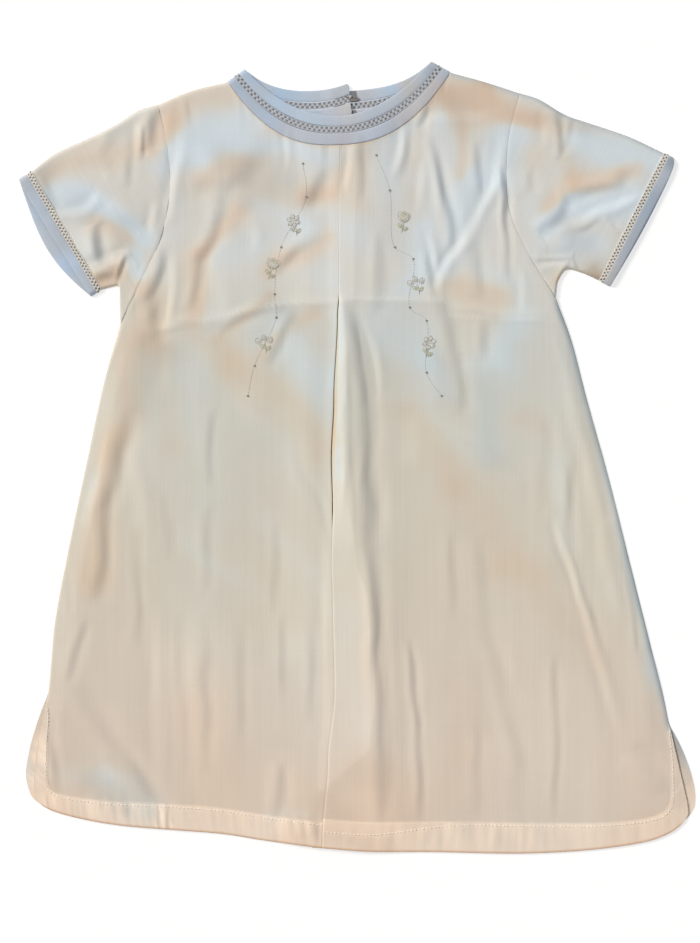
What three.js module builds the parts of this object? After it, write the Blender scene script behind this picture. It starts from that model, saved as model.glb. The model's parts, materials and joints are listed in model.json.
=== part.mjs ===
// A baby's short-sleeved shirt of cotton lawn, laid flat on its back.
// An A-line body with an inverted pleat down the centre front, set-in sleeves, a back that opens
// from neck to hem and overlaps, shirt-tail vents at the sides, and pale blue bands round the neck
// and the cuffs, each joined to the next piece by a ladder of hemstitching.
//
// Millimetres. X runs across the shirt, Y towards its neck and Z up from the surface it lies on.
// The origin is on that surface, under the middle of the outline. Left and right are as it lies.
//
// Every piece is a wall of cloth: a grid of points on its middle surface, thickened both ways.
import * as THREE from "three";

// ---------------------------------------------------------------- driving sizes

const CLOTH = 1.05; // wall of one layer of cloth
const SEAM = 0.3; // clear space at a seam, and between layers that lie on each other
const LAYER = CLOTH + SEAM; // rise from one layer to the next
const HEM = 11; // width of the turned hem
const HEM_RAISE = 0.6; // how far the turned hem stands above the single cloth
const EASE = 0.9; // how far the top layer lies off the one below, away from its edges
const BACK_OVERLAP = 10; // how far the two backs lap at the centre
const LAP_CLIMB = 9; // how far the left back takes to climb on to the right one
const LADDER = 3.5; // width of a cuff's hemstitched ladder
const CUFF = 6.2; // width of a cuff's blue band at the shoulder
const CUFF_TAPER = 0.3; // the share of it that is out of sight at the underarm, where it tips over
const NOSE_REACH = 0.6; // how far a sleeve's fold stands out past the edge of its two layers
const NOSE_SHARE = 0.3; // half of that fold's blunt end, as a share of the layers' distance

const IVORY = new THREE.MeshStandardMaterial({ color: 0xe9e1d4, roughness: 0.85, metalness: 0 });
const BLUE = new THREE.MeshStandardMaterial({ color: 0xbecbdd, roughness: 0.8, metalness: 0 });
const THREAD = new THREE.MeshStandardMaterial({ color: 0xf1ece0, roughness: 0.8, metalness: 0 });

// ---------------------------------------------------------------- the cut, as it lies

// The edges of the neck: the middle between its two ends, half its width, how much higher its right
// end lies, the drop at the middle, and how square the U is (2 is a parabola).
const NECK = {
  frontEdge: { x: -12, y: 235, half: 55.8, lean: 2.3, drop: 30.6, power: 2 },
  frontSeam: { x: -11.3, y: 228, half: 66.7, lean: 2.9, drop: 40.9, power: 2.5 },
  backEdge: { x: -12, y: 235, half: 55.8, lean: 2.3, drop: 15, power: 3.4 },
  backSeam: { x: -11.3, y: 228, half: 66.7, lean: 2.9, drop: 23.4, power: 3 },
};

// The three strips round the neck, as shares of the width from its edge to the neck seam.
const NECK_STRIPS = [
  { name: "neck_edge_band", from: 0, to: 0.43, material: BLUE },
  { name: "neck_ladder", from: 0.43, to: 0.62, material: THREAD },
  { name: "neck_yoke_band", from: 0.62, to: 1, material: BLUE },
];

const SIDES = {
  left: {
    sign: -1,
    shoulder: [{ x: -120, y: 211.6 }, { x: -99.6, y: 220 }],
    armhole: [
      { x: -120, y: 211.6 }, { x: -114.4, y: 186 }, { x: -113, y: 160 },
      { x: -118.4, y: 131 }, { x: -128.6, y: 109 }, { x: -142.5, y: 79.5 },
    ],
    side: [
      { x: -142.5, y: 79.5 }, { x: -152, y: 46 }, { x: -162, y: 0 },
      { x: -172.5, y: -50 }, { x: -181.6, y: -98 }, { x: -185.6, y: -140 },
    ],
    frontVent: [{ x: -189, y: -152 }, { x: -194.4, y: -170 }, { x: -198.2, y: -188 }, { x: -196, y: -203 }],
    backVent: [{ x: -190, y: -152 }, { x: -195.8, y: -170 }, { x: -199.4, y: -188 }, { x: -197, y: -203 }],
    frontHem: [
      { x: -196, y: -203 }, { x: -189.6, y: -208.6 }, { x: -173, y: -214.4 }, { x: -145.5, y: -219.9 },
      { x: -109.8, y: -223 }, { x: -80.4, y: -225.4 }, { x: -55, y: -229.4 },
    ],
    backHem: [
      { x: -197, y: -203 }, { x: -189.6, y: -208 }, { x: -173, y: -213.6 }, { x: -145, y: -218.8 },
      { x: -110, y: -221.6 }, { x: -80, y: -223.8 }, { x: -55, y: -227.4 },
    ],
    sleeveTop: [
      { x: -120, y: 211.6 }, { x: -132, y: 207.9 }, { x: -143.4, y: 200.7 },
      { x: -159.6, y: 192.3 }, { x: -181.2, y: 182.4 }, { x: -195.6, y: 171.4 },
    ],
    sleeveUnder: [
      { x: -142.5, y: 79.5 }, { x: -143, y: 92 }, { x: -143.6, y: 103.6 },
      { x: -147, y: 105.4 }, { x: -154.6, y: 102.6 },
    ],
    cuffSpill: 4.2, // how far the cuff's under layer lies out past its upper one, at the middle
    foot: -231.8, // the lower end of this back, at its overlap
    neckLift: 3.2, // how far this end of the back's neck is pulled up, where it laps over the other
  },
  right: {
    sign: 1,
    shoulder: [{ x: 97, y: 218.4 }, { x: 76, y: 225.2 }],
    armhole: [
      { x: 97, y: 218.4 }, { x: 90.6, y: 194 }, { x: 89, y: 172 },
      { x: 91.4, y: 146 }, { x: 101.6, y: 123 }, { x: 118.8, y: 95.4 },
    ],
    side: [
      { x: 118.8, y: 95.4 }, { x: 127.8, y: 71 }, { x: 137.6, y: 34 },
      { x: 150.6, y: -13 }, { x: 162.6, y: -61 }, { x: 174.6, y: -109 }, { x: 183.4, y: -144 },
    ],
    frontVent: [{ x: 187.4, y: -161 }, { x: 194.4, y: -178 }, { x: 200.4, y: -196 }, { x: 200.4, y: -210 }],
    backVent: [{ x: 189, y: -161 }, { x: 197.8, y: -178 }, { x: 202.8, y: -196 }, { x: 201.6, y: -211 }],
    frontHem: [
      { x: 200.4, y: -210 }, { x: 191.4, y: -222 }, { x: 173.7, y: -229.8 }, { x: 142.2, y: -234.6 },
      { x: 100.2, y: -237 }, { x: 47.7, y: -236.2 }, { x: 6, y: -235.8 },
    ],
    backHem: [
      { x: 201.6, y: -211 }, { x: 191.4, y: -222.2 }, { x: 173, y: -229.2 }, { x: 142, y: -233.4 },
      { x: 100, y: -235.6 }, { x: 48, y: -234.8 }, { x: 10, y: -234.4 },
    ],
    sleeveTop: [
      { x: 97, y: 218.4 }, { x: 108, y: 215 }, { x: 124.2, y: 205.5 },
      { x: 138, y: 200.7 }, { x: 162.6, y: 192.3 }, { x: 183.6, y: 182.4 },
    ],
    sleeveUnder: [
      { x: 118.8, y: 95.4 }, { x: 121, y: 107 }, { x: 125.6, y: 112.8 },
      { x: 135.2, y: 111.3 }, { x: 146.2, y: 108.2 },
    ],
    cuffSpill: 0.8,
    foot: -233.8,
    neckLift: -1.6,
  },
};

// The pleat, section by section down the front: the line its two folds meet on, how far they stand
// apart there, and how deep the cloth is folded under on each side.
const PLEAT = [
  { y: 190, line: -10.8, gap: 0.3, leftDepth: 8, rightDepth: 9.8 },
  { y: 95, line: -11.4, gap: 0.3, leftDepth: 7, rightDepth: 9 },
  { y: 70, line: -11.8, gap: 2.3, leftDepth: 6.6, rightDepth: 6.4 },
  { y: 35, line: -13.6, gap: 2.8, leftDepth: 6.4, rightDepth: 6.6 },
  { y: -1, line: -15.6, gap: 2.3, leftDepth: 6.2, rightDepth: 7.4 },
  { y: -26, line: -15.2, gap: 0.4, leftDepth: 6, rightDepth: 9 },
  { y: -62, line: -15.8, gap: 0.3, leftDepth: 6, rightDepth: 15 },
  { y: -86, line: -15, gap: 0.3, leftDepth: 6, rightDepth: 21 },
  { y: -140, line: -14, gap: 0.3, leftDepth: 6, rightDepth: 24.5 },
  { y: -182, line: -18, gap: 0.3, leftDepth: 6, rightDepth: 24 },
  { y: -232, line: -21.6, gap: 0.3, leftDepth: 6, rightDepth: 22 },
];
const PLEAT_MIDDLE = -8; // the middle of the strip in which the cloth below the pleat lies level
const PLEAT_WIDTH = 40; // and that strip's width
const PLEAT_SPREAD = 24; // how far the top cloth takes to come down beside the folded layers

// The folds in the top layer. Each runs from one point to another, bowed sideways at its middle, as a
// ridge or, with a negative rise, a trough.
const FOLDS = [
  // beside the pleat
  { x: -4, y: 92, toX: 7, toY: -34, bow: 2.4, width: 7, rise: -1.4 },
  { x: 5, y: 4, toX: 14, toY: -228, bow: 1, width: 7, rise: -1.3 },
  { x: 13, y: 70, toX: 24, toY: -60, bow: 3, width: 9, rise: 1 },
  { x: 22, y: -30, toX: 25, toY: -215, bow: -2, width: 9, rise: 0.8 },
  { x: -20, y: 60, toX: -24, toY: -70, bow: 2, width: 7, rise: 0.7 },
  // the chest
  { x: -36, y: 176, toX: -88, toY: 96, bow: -6, width: 13, rise: 1.4 },
  { x: -56, y: 186, toX: -106, toY: 108, bow: 8, width: 11, rise: -1.1 },
  { x: -92, y: 140, toX: -96, toY: 88, bow: 3, width: 7, rise: 0.9 },
  { x: 22, y: 180, toX: 25, toY: 96, bow: 2, width: 8, rise: 0.9 },
  { x: 42, y: 192, toX: 44, toY: 100, bow: -5, width: 6, rise: -1.1 },
  { x: 82, y: 190, toX: 46, toY: 104, bow: 5, width: 9, rise: 1.4 },
  { x: 72, y: 160, toX: 78, toY: 96, bow: -4, width: 8, rise: -0.8 },
  // the crease across the body from its being folded in a drawer
  { x: -122, y: 77, toX: -14, toY: 94, bow: 2.6, width: 4.5, rise: 1 },
  { x: -8, y: 94, toX: 106, toY: 80, bow: 2.4, width: 4.5, rise: 1 },
  // the skirt
  { x: -139, y: 34, toX: -156, toY: -84, bow: 4, width: 8, rise: -1.2 },
  { x: -128, y: 40, toX: -136, toY: -90, bow: 2, width: 11, rise: 1.1 },
  { x: -170, y: -104, toX: -124, toY: -208, bow: -9, width: 8, rise: -1.1 },
  { x: -150, y: -110, toX: -108, toY: -200, bow: -6, width: 10, rise: 1 },
  { x: -62, y: 52, toX: -22, toY: 4, bow: 3, width: 9, rise: 0.9 },
  { x: -104, y: -70, toX: -110, toY: -214, bow: 2, width: 9, rise: -0.8 },
  { x: -70, y: -40, toX: -76, toY: -216, bow: -3, width: 10, rise: 0.8 },
  { x: -44, y: -70, toX: -50, toY: -220, bow: 2, width: 8, rise: -0.8 },
  { x: 32, y: -98, toX: 39, toY: -224, bow: 2, width: 8, rise: -1 },
  { x: 72, y: -100, toX: 102, toY: -194, bow: 3, width: 9, rise: -0.9 },
  { x: 54, y: 20, toX: 96, toY: -20, bow: 2, width: 6, rise: 1 },
  { x: 111, y: -14, toX: 159, toY: -172, bow: -6, width: 5.5, rise: 1.2 },
  { x: 112, y: -126, toX: 122, toY: -220, bow: 2, width: 8, rise: -0.9 },
  // the sleeves
  { x: -177, y: 160, toX: -124, toY: 132, bow: -8, width: 9, rise: 1.5 },
  { x: -164, y: 112, toX: -128, toY: 110, bow: -11, width: 5, rise: 1.6 },
  { x: -150, y: 108, toX: -134, toY: 104, bow: -5, width: 4, rise: -1 },
  { x: -127, y: 203, toX: -125, toY: 178, bow: 0, width: 5, rise: -0.8 },
  { x: 171, y: 150, toX: 101, toY: 128, bow: -5, width: 9, rise: 1.5 },
  { x: 102, y: 122, toX: 131, toY: 118, bow: 8, width: 5, rise: 1.6 },
  { x: 118, y: 206, toX: 112, toY: 166, bow: 2, width: 8, rise: 0.9 },
];

// ---------------------------------------------------------------- how finely each piece is divided

const ARMHOLE_STEPS = 10; // shared by the panels and the sleeves, so that the seams match
const SHOULDER_STEPS = 4;
const NECK_STEPS = 9; // round half of the neck, shared by the panels and the strips
const BACK_NECK_STEPS = 6; // and round the back's neck, as far as its lap
const LAP_PLACES = [0, 0.15, 0.3, 0.45, 1]; // across the lap: its climb, then its level stretch
const FRONT_ROWS = 24; // from the armhole to the hem
const BACK_ROWS = 15;
const SLEEVE_ROWS = 9;
const FOLD_STEPS = 3; // round one sharp fold
const ARMHOLE_SHARE = 0.31; // of a panel's length
const SHOULDER_SHARE = 0.36; // of a panel's half width

// ---------------------------------------------------------------- curves and patches

const { clamp, lerp, smoothstep } = THREE.MathUtils;
const plan = (x, y) => new THREE.Vector2(x, y);
const steps = (count, from = 0, to = 1) =>
  Array.from({ length: count + 1 }, (_, k) => lerp(from, to, k / count));

/** A smooth line through the rows of a table, as a function of 0 to 1. */
function lineThrough(rows) {
  const points = rows.map(({ x, y }) => new THREE.Vector3(x, y, 0));
  const curve = new THREE.CatmullRomCurve3(points, false, "centripetal");
  return (t) => {
    const p = curve.getPoint(clamp(t, 0, 1));
    return plan(p.x, p.y);
  };
}

/** Two lines end to end, the first of them over that share of 0 to 1. */
const joined = (first, share, second) => (t) =>
  t <= share ? first(t / share) : second((t - share) / (1 - share));

/** A column of a table at any y between its rows, which run downwards, by a smooth curve. */
function tabled(rows, y, column) {
  const at = rows.findIndex((row) => row.y <= y);
  const k = clamp(at < 0 ? rows.length - 1 : at, 1, rows.length - 1);
  const share = clamp((rows[k - 1].y - y) / (rows[k - 1].y - rows[k].y), 0, 1);
  return lerp(rows[k - 1][column], rows[k][column], share * share * (3 - 2 * share));
}

/** Points filled in between four edges: `top` and `bottom` run across, `left` and `right` down. */
function patch({ top, bottom, left, right }, downs, acrosses) {
  const corners = [top(0), top(1), bottom(0), bottom(1)];
  return downs.map((v) =>
    acrosses.map((u) => {
      const ends = plan(0, 0);
      const weights = [(1 - u) * (1 - v), u * (1 - v), (1 - u) * v, u * v];
      weights.forEach((weight, k) => ends.addScaledVector(corners[k], weight));
      return plan(0, 0)
        .addScaledVector(top(u), 1 - v)
        .addScaledVector(bottom(u), v)
        .addScaledVector(left(v), 1 - u)
        .addScaledVector(right(v), u)
        .sub(ends);
    }),
  );
}

// ---------------------------------------------------------------- the heights of the layers

/** 1 inside a band of that half width about 0, falling to 0 over `ramp` outside it. */
const band = (distance, half, ramp) => 1 - smoothstep(Math.abs(distance), half, half + ramp);

/** The line down the middle of the back's overlap. */
const backMiddle = (y) => lerp(-4, -8.6, clamp((y + 235) / 440, 0, 1));

/** Middle height of a back. The left one climbs over the right one where they lap. */
function backHeight(x, y, lapsOver) {
  const top = -BACK_OVERLAP / 2 - 1;
  const climb = smoothstep(x - backMiddle(y), top - LAP_CLIMB, top);
  return CLOTH / 2 + (lapsOver ? LAYER * climb : 0);
}

/** Middle height of a layer that lies on the backs: flat over their overlap and the pleat's width. */
const restingHeight = (x) => CLOTH / 2 + LAYER * (1 + band(x - PLEAT_MIDDLE, PLEAT_WIDTH / 2, PLEAT_SPREAD));

/** How far the top layer stands up in its folds at a point. */
function foldRise(x, y) {
  let rise = EASE;
  for (const fold of FOLDS) {
    const along = plan(fold.toX - fold.x, fold.toY - fold.y);
    const length = along.length();
    along.divideScalar(length);
    const away = plan(x - fold.x, y - fold.y);
    const t = away.dot(along) / length;
    if (t <= 0 || t >= 1) continue;
    const aside = along.x * away.y - along.y * away.x - fold.bow * 4 * t * (1 - t);
    rise += fold.rise * Math.sqrt(Math.sin(Math.PI * t)) * Math.exp(-((aside / fold.width) ** 2));
  }
  const floor = 0.35;
  return rise > floor ? rise : floor * Math.exp(rise / floor - 1); // never down through the layer below
}

/** How far the top layer is lifted by the pleat folded under it. */
function pleatLift(x, y) {
  const from = tabled(PLEAT, y, "line");
  const depth = tabled(PLEAT, y, x < from ? "leftDepth" : "rightDepth") + tabled(PLEAT, y, "gap") / 2;
  return 2 * LAYER * (1 - smoothstep(Math.abs(x - from), depth, depth + PLEAT_SPREAD));
}

/** Middle height of the top layer: the front, the upper side of the sleeves and the front neck. */
const frontHeight = (x, y, share = 1) => restingHeight(x) + pleatLift(x, y) + share * foldRise(x, y);

// ---------------------------------------------------------------- walls of cloth

/** The direction across a grid of points at one of them, by its neighbours. */
function normalAt(grid, i, j, closed) {
  const row = grid[i];
  const last = row.length - 1;
  const before = closed ? row[(j + last) % (last + 1)] : row[Math.max(j - 1, 0)];
  const after = closed ? row[(j + 1) % (last + 1)] : row[Math.min(j + 1, last)];
  const down = grid[Math.min(i + 1, grid.length - 1)][j].clone().sub(grid[Math.max(i - 1, 0)][j]);
  return down.cross(after.clone().sub(before)).normalize();
}

/**
 * A closed solid from a grid of points on the cloth's middle surface. Its right side faces the way
 * that `down the grid` cross `along a row` points, and `raise` adds to that side's thickness.
 * `closed` joins the end of each row to its start, which makes a tube.
 */
function clothWall(grid, { raise = () => 0, closed = false } = {}) {
  const across = grid[0].length;
  const positions = [];
  for (const side of [1, -1])
    grid.forEach((row, i) =>
      row.forEach((point, j) => {
        const thick = CLOTH / 2 + (side > 0 ? raise(i, j) : 0);
        positions.push(...point.clone().addScaledVector(normalAt(grid, i, j, closed), side * thick).toArray());
      }),
    );
  const faces = [];
  const index = (side, i, j) => side * grid.length * across + i * across + (j % across);
  const quad = (a, b, c, d) => faces.push(a, b, c, a, c, d);
  const lastRow = grid.length - 1;
  const lastColumn = closed ? across : across - 1;
  for (let i = 0; i < lastRow; i++)
    for (let j = 0; j < lastColumn; j++) {
      quad(index(0, i, j), index(0, i + 1, j), index(0, i + 1, j + 1), index(0, i, j + 1));
      quad(index(1, i, j), index(1, i, j + 1), index(1, i + 1, j + 1), index(1, i + 1, j));
    }
  for (let j = 0; j < lastColumn; j++) {
    quad(index(0, 0, j), index(0, 0, j + 1), index(1, 0, j + 1), index(1, 0, j));
    quad(index(0, lastRow, j + 1), index(0, lastRow, j), index(1, lastRow, j), index(1, lastRow, j + 1));
  }
  if (!closed)
    for (let i = 0; i < lastRow; i++) {
      const end = (side, row) => index(side, row, lastColumn);
      quad(index(0, i + 1, 0), index(0, i, 0), index(1, i, 0), index(1, i + 1, 0));
      quad(end(0, i), end(0, i + 1), end(1, i + 1), end(1, i));
    }
  const geometry = new THREE.BufferGeometry();
  geometry.setAttribute("position", new THREE.Float32BufferAttribute(positions, 3));
  geometry.setIndex(faces);
  geometry.computeVertexNormals();
  return geometry;
}

function piece(name, geometry, material) {
  const mesh = new THREE.Mesh(geometry, material);
  mesh.name = name;
  return mesh;
}

// ---------------------------------------------------------------- the front, with its pleat

/** A point on one of the neck's edges, from -1 at its left end to 1 at its right end. */
function neckPoint(edge, t) {
  return plan(edge.x + edge.half * t, edge.y + edge.lean * t - edge.drop * (1 - Math.abs(t) ** edge.power));
}

/** The panel's own edge, a seam's space away from the strip's. */
function neckSeam(seam, edge, t) {
  const at = neckPoint(seam, t);
  return at.addScaledVector(at.clone().sub(neckPoint(edge, t)).normalize(), SEAM);
}

/** How far the back's neck is pulled up or down beside its opening. */
const neckLift = (side, t) => side.neckLift * clamp(1 - Math.abs(t) / 0.42, 0, 1) ** 2;

/** Where a panel's columns fall down the hem of its vent. The step in thickness is the last two. */
const HEM_STEP = 0.056;
const HEM_COLUMNS = [0, 0.012, 0.03, HEM_STEP, HEM_STEP + 0.007];

/** Down a panel: the armhole's own steps, then even ones, then the hem's. */
function panelRows(rows, length) {
  const hem = 1 - HEM / length;
  const armhole = steps(ARMHOLE_STEPS, 0, ARMHOLE_SHARE);
  return [...armhole, ...steps(rows, ARMHOLE_SHARE, hem - 0.004).slice(1), hem, 1];
}

/** The four edges of half of a panel, its outer edge first in each row. */
function halfEdges(side, { neckEdges, vent, hem, middle, neckEnd, lifted }) {
  const [seam, edge] = neckEdges;
  const shoulder = lineThrough([...side.shoulder, neckSeam(seam, edge, side.sign)]);
  const neck = (t) => {
    const at = lerp(side.sign, neckEnd, t);
    return neckSeam(seam, edge, at).add(plan(0, lifted ? neckLift(side, at) : 0));
  };
  return {
    top: joined(shoulder, SHOULDER_SHARE, neck),
    left: joined(lineThrough(side.armhole), ARMHOLE_SHARE, lineThrough([...side.side, ...vent])),
    right: middle,
    bottom: lineThrough([...hem, middle(1)]),
  };
}

/** Whether a point of a panel lies in its turned hem, all round from vent to vent. */
function inHem(v, u, length) {
  const low = v >= 1 - HEM / length - 1e-6;
  const beside = u <= HEM_STEP + 1e-6 && v > 0.86;
  return low || beside;
}

/** How much of its folds the front keeps: less along its side seams and its hem, where it lies down. */
function settling(v, u) {
  const beside = (1 - smoothstep(u, 0, 0.08)) * smoothstep(v, ARMHOLE_SHARE, ARMHOLE_SHARE + 0.08);
  return (1 - 0.9 * beside) * (1 - 0.6 * smoothstep(v, 0.92, 1));
}

/** One section through the folded pleat, from the left fold to the right one, as x and layer. */
function pleatSection(y) {
  const read = (column) => tabled(PLEAT, y, column);
  const [line, gap, leftDepth, rightDepth] = ["line", "gap", "leftDepth", "rightDepth"].map(read);
  const bend = LAYER / 2;
  const leftFold = line - (gap + CLOTH) / 2;
  const rightFold = line + (gap + CLOTH) / 2;
  const turn = (x, layer, from, to) =>
    steps(FOLD_STEPS, from, to).map((angle) => ({
      x: x + bend * Math.cos(angle),
      layer: layer + Math.sin(angle) / 2,
    }));
  const quarter = Math.PI / 2;
  return [
    ...turn(leftFold - bend, 1.5, quarter, -quarter),
    ...turn(leftFold - leftDepth + bend, 0.5, quarter, 3 * quarter),
    { x: line, layer: 0 },
    ...turn(rightFold + rightDepth - bend, 0.5, -quarter, quarter),
    ...turn(rightFold + bend, 1.5, -quarter, -3 * quarter),
  ];
}

function frontPanel() {
  const length = 420;
  const rows = panelRows(FRONT_ROWS, length);
  const top = neckSeam(NECK.frontSeam, NECK.frontEdge, 0).y;
  const foot = -233.6;
  const middleY = (v) => lerp(top, foot, v);
  const columns = [
    ...HEM_COLUMNS,
    ...steps(SHOULDER_STEPS - 1, 0.15, SHOULDER_SHARE),
    ...steps(NECK_STEPS, SHOULDER_SHARE, 1).slice(1),
  ];
  const halves = Object.values(SIDES).map((side) => {
    const middle = (v) => {
      const section = pleatSection(middleY(v));
      return plan((side.sign < 0 ? section[0] : section[section.length - 1]).x, middleY(v));
    };
    const neckEnd = (middle(0).x - NECK.frontSeam.x) / NECK.frontSeam.half;
    const edges = halfEdges(side, {
      neckEdges: [NECK.frontSeam, NECK.frontEdge], vent: side.frontVent, hem: side.frontHem, middle, neckEnd,
    });
    return patch(edges, rows, columns).map((row, i) =>
      row.map((p, j) => new THREE.Vector3(p.x, p.y, frontHeight(p.x, p.y, settling(rows[i], columns[j])))),
    );
  });
  const grid = rows.map((v, i) => {
    const y = middleY(v);
    const folded = pleatSection(y).slice(1, -1).map(({ x, layer }) => {
      const z = restingHeight(x) + layer * LAYER + (layer / 2) * foldRise(x, y);
      return new THREE.Vector3(x, y, z);
    });
    return [...halves[0][i], ...folded, ...halves[1][i].reverse()];
  });
  const columnAt = (j) => columns[Math.min(j, grid[0].length - 1 - j, columns.length - 1)];
  const raise = (i, j) => (inHem(rows[i], columnAt(j), length) ? HEM_RAISE : 0);
  return piece("front_panel", clothWall(grid, { raise }), IVORY);
}

// ---------------------------------------------------------------- the backs

/** The lines down a back where its lap starts and ends, as their distance from the overlap's middle. */
const lapEdges = (side) => {
  const end = (-side.sign * BACK_OVERLAP) / 2;
  return [end + side.sign * (BACK_OVERLAP + LAP_CLIMB + 1), end];
};

/** Places round the back's neck, from the shoulder to the opening, as the neck's own share. */
function backNeckPlaces(side) {
  const [lap, end] = lapEdges(side).map((away) => {
    return (backMiddle(NECK.backSeam.y - NECK.backSeam.drop) + away - NECK.backSeam.x) / NECK.backSeam.half;
  });
  const onLap = LAP_PLACES.slice(1).map((share) => lerp(lap, end, share));
  return { lap, end, all: [...steps(BACK_NECK_STEPS, side.sign, lap), ...onLap] };
}

function backPanel(name, side) {
  const length = 430;
  const rows = panelRows(BACK_ROWS, length);
  const places = backNeckPlaces(side);
  const { foot } = side;
  const seam = (t) => neckSeam(NECK.backSeam, NECK.backEdge, t).add(plan(0, neckLift(side, t)));
  const [lapLine, endLine] = lapEdges(side).map((away, k) => (v) => {
    const y = lerp(seam(k ? places.end : places.lap).y, foot, v);
    return plan(v ? backMiddle(y) + away : seam(k ? places.end : places.lap).x, y);
  });
  const wide = patch(
    halfEdges(side, {
      neckEdges: [NECK.backSeam, NECK.backEdge], vent: side.backVent, hem: side.backHem,
      middle: lapLine, neckEnd: places.lap, lifted: true,
    }),
    rows,
    [
      ...HEM_COLUMNS.slice(0, -1),
      ...steps(2, 0.16, SHOULDER_SHARE),
      ...steps(BACK_NECK_STEPS, SHOULDER_SHARE, 1).slice(1),
    ],
  );
  const lap = patch(
    {
      top: (t) => seam(lerp(places.lap, places.end, t)),
      bottom: (t) => lapLine(1).lerp(endLine(1), t),
      left: lapLine,
      right: endLine,
    },
    rows,
    LAP_PLACES,
  );
  const raised = (p) => new THREE.Vector3(p.x, p.y, backHeight(p.x, p.y, side.sign < 0));
  const grid = rows.map((_, i) => [...wide[i], ...lap[i].slice(1)].map(raised));
  return piece(name, clothWall(side.sign < 0 ? grid : grid.map((row) => row.reverse())), IVORY);
}

// ---------------------------------------------------------------- the sleeves and their cuffs

/** A ring of the flattened tube: along its upper layer, round the fold, and back along the under one. */
function flatRing(upper, under, heights) {
  const outwards = (from, to) => to.clone().sub(from).normalize();
  const last = upper.length - 1;
  const nose = (tip, inner, upperHeight) => {
    const at = tip.clone().addScaledVector(outwards(inner, tip), NOSE_REACH);
    const middle = (upperHeight + CLOTH / 2) / 2;
    const half = NOSE_SHARE * (upperHeight - CLOTH / 2);
    return [half, -half].map((above) => new THREE.Vector3(at.x, at.y, middle + above));
  };
  return [
    ...upper.map((p, k) => new THREE.Vector3(p.x, p.y, heights[k])),
    ...nose(upper[last], upper[last - 1], heights[last]),
    ...[...under].reverse().map((p) => new THREE.Vector3(p.x, p.y, CLOTH / 2)),
    ...nose(upper[0], upper[1], heights[0]).reverse(),
  ];
}

/** Rings wind the other way round on the left, so that the cloth's right side stays outside. */
const tube = (rings, sign) =>
  clothWall(sign < 0 ? rings.map((ring) => [...ring].reverse()) : rings, { closed: true });

/** The edge where a sleeve's cloth meets its cuff, and the direction out of the cuff. */
function cuffLine(side) {
  const high = side.sleeveTop[side.sleeveTop.length - 1];
  const low = side.sleeveUnder[side.sleeveUnder.length - 1];
  const from = plan(high.x, high.y);
  const to = plan(low.x, low.y);
  const along = to.clone().sub(from).normalize();
  return { from, to, out: plan(along.y, -along.x).multiplyScalar(-side.sign) };
}

function sleeve(name, side) {
  const cuff = cuffLine(side);
  const edges = {
    top: lineThrough(side.armhole),
    bottom: (t) => cuff.from.clone().lerp(cuff.to, t),
    left: lineThrough(side.sleeveTop),
    right: lineThrough(side.sleeveUnder),
  };
  const rings = patch(edges, steps(SLEEVE_ROWS), steps(ARMHOLE_STEPS)).map((row, i) => {
    const clear = plan(side.sign * 2 * SEAM * (1 - i / SLEEVE_ROWS), 0);
    const points = row.map((p) => p.add(clear));
    return flatRing(points, points, points.map((p) => frontHeight(p.x, p.y)));
  });
  return piece(name, tube(rings, side.sign), IVORY);
}

/** A band of the cuff, from one distance out of the sleeve to another. */
function cuffStrip(name, side, from, to, material) {
  const { from: high, to: low, out } = cuffLine(side);
  const rings = steps(1, from, to).map((distance) => {
    const points = (spill) =>
      steps(ARMHOLE_STEPS).map((t) => {
        const past = Math.max(distance - LADDER, 0) * (1 - CUFF_TAPER * t * t);
        const reach = Math.min(distance, LADDER) + past + spill * Math.sin(Math.PI * t);
        return high.clone().lerp(low, t).addScaledVector(out, reach);
      });
    const upper = points(0);
    const spill = side.cuffSpill * clamp((distance - LADDER) / CUFF, 0, 1);
    return flatRing(upper, points(spill), upper.map((p) => frontHeight(p.x, p.y)));
  });
  return piece(name, tube(rings, side.sign), material);
}

// ---------------------------------------------------------------- the strips round the neck

/** One strip, from its end at the left back, round the front and to its end at the right back. */
function neckStrip({ name, from, to, material }) {
  const onStrip = (edge, seam, t) => {
    const inner = neckPoint(edge, t);
    const outer = neckPoint(seam, t);
    const width = inner.distanceTo(outer);
    const trim = SEAM / 2 / width;
    const shares = [from === 0 ? 0 : from + trim, to === 1 ? 1 : to - trim];
    return shares.map((share) => inner.clone().lerp(outer, share));
  };
  const section = (edge, seam, t, height, lift = 0) =>
    onStrip(edge, seam, t).map((p) => new THREE.Vector3(p.x, p.y + lift, height(p.x, p.y)));
  const back = (sign, t) => {
    const lift = neckLift(sign < 0 ? SIDES.left : SIDES.right, t);
    return section(NECK.backEdge, NECK.backSeam, t, (x, y) => backHeight(x, y, sign < 0), lift);
  };
  const front = (t) => section(NECK.frontEdge, NECK.frontSeam, t, frontHeight);
  const tip = (sign) => {
    const low = back(sign, sign);
    const high = front(sign);
    const shoulder = low[1].clone().sub(low[0]).normalize();
    const out = new THREE.Vector3(-shoulder.y, shoulder.x, 0).multiplyScalar(sign * LAYER * 0.3);
    return [0.2, 0.8].map((share) => low.map((p, k) => p.clone().lerp(high[k], share).add(out)));
  };
  const sections = [
    ...backNeckPlaces(SIDES.left).all.reverse().map((t) => back(-1, t)),
    ...tip(-1),
    ...steps(2 * NECK_STEPS, -1, 1).map(front),
    ...tip(1).reverse(),
    ...backNeckPlaces(SIDES.right).all.map((t) => back(1, t)),
  ];
  return piece(name, clothWall(sections.map((s) => [...s].reverse())), material);
}

// ---------------------------------------------------------------- the shirt

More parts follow.
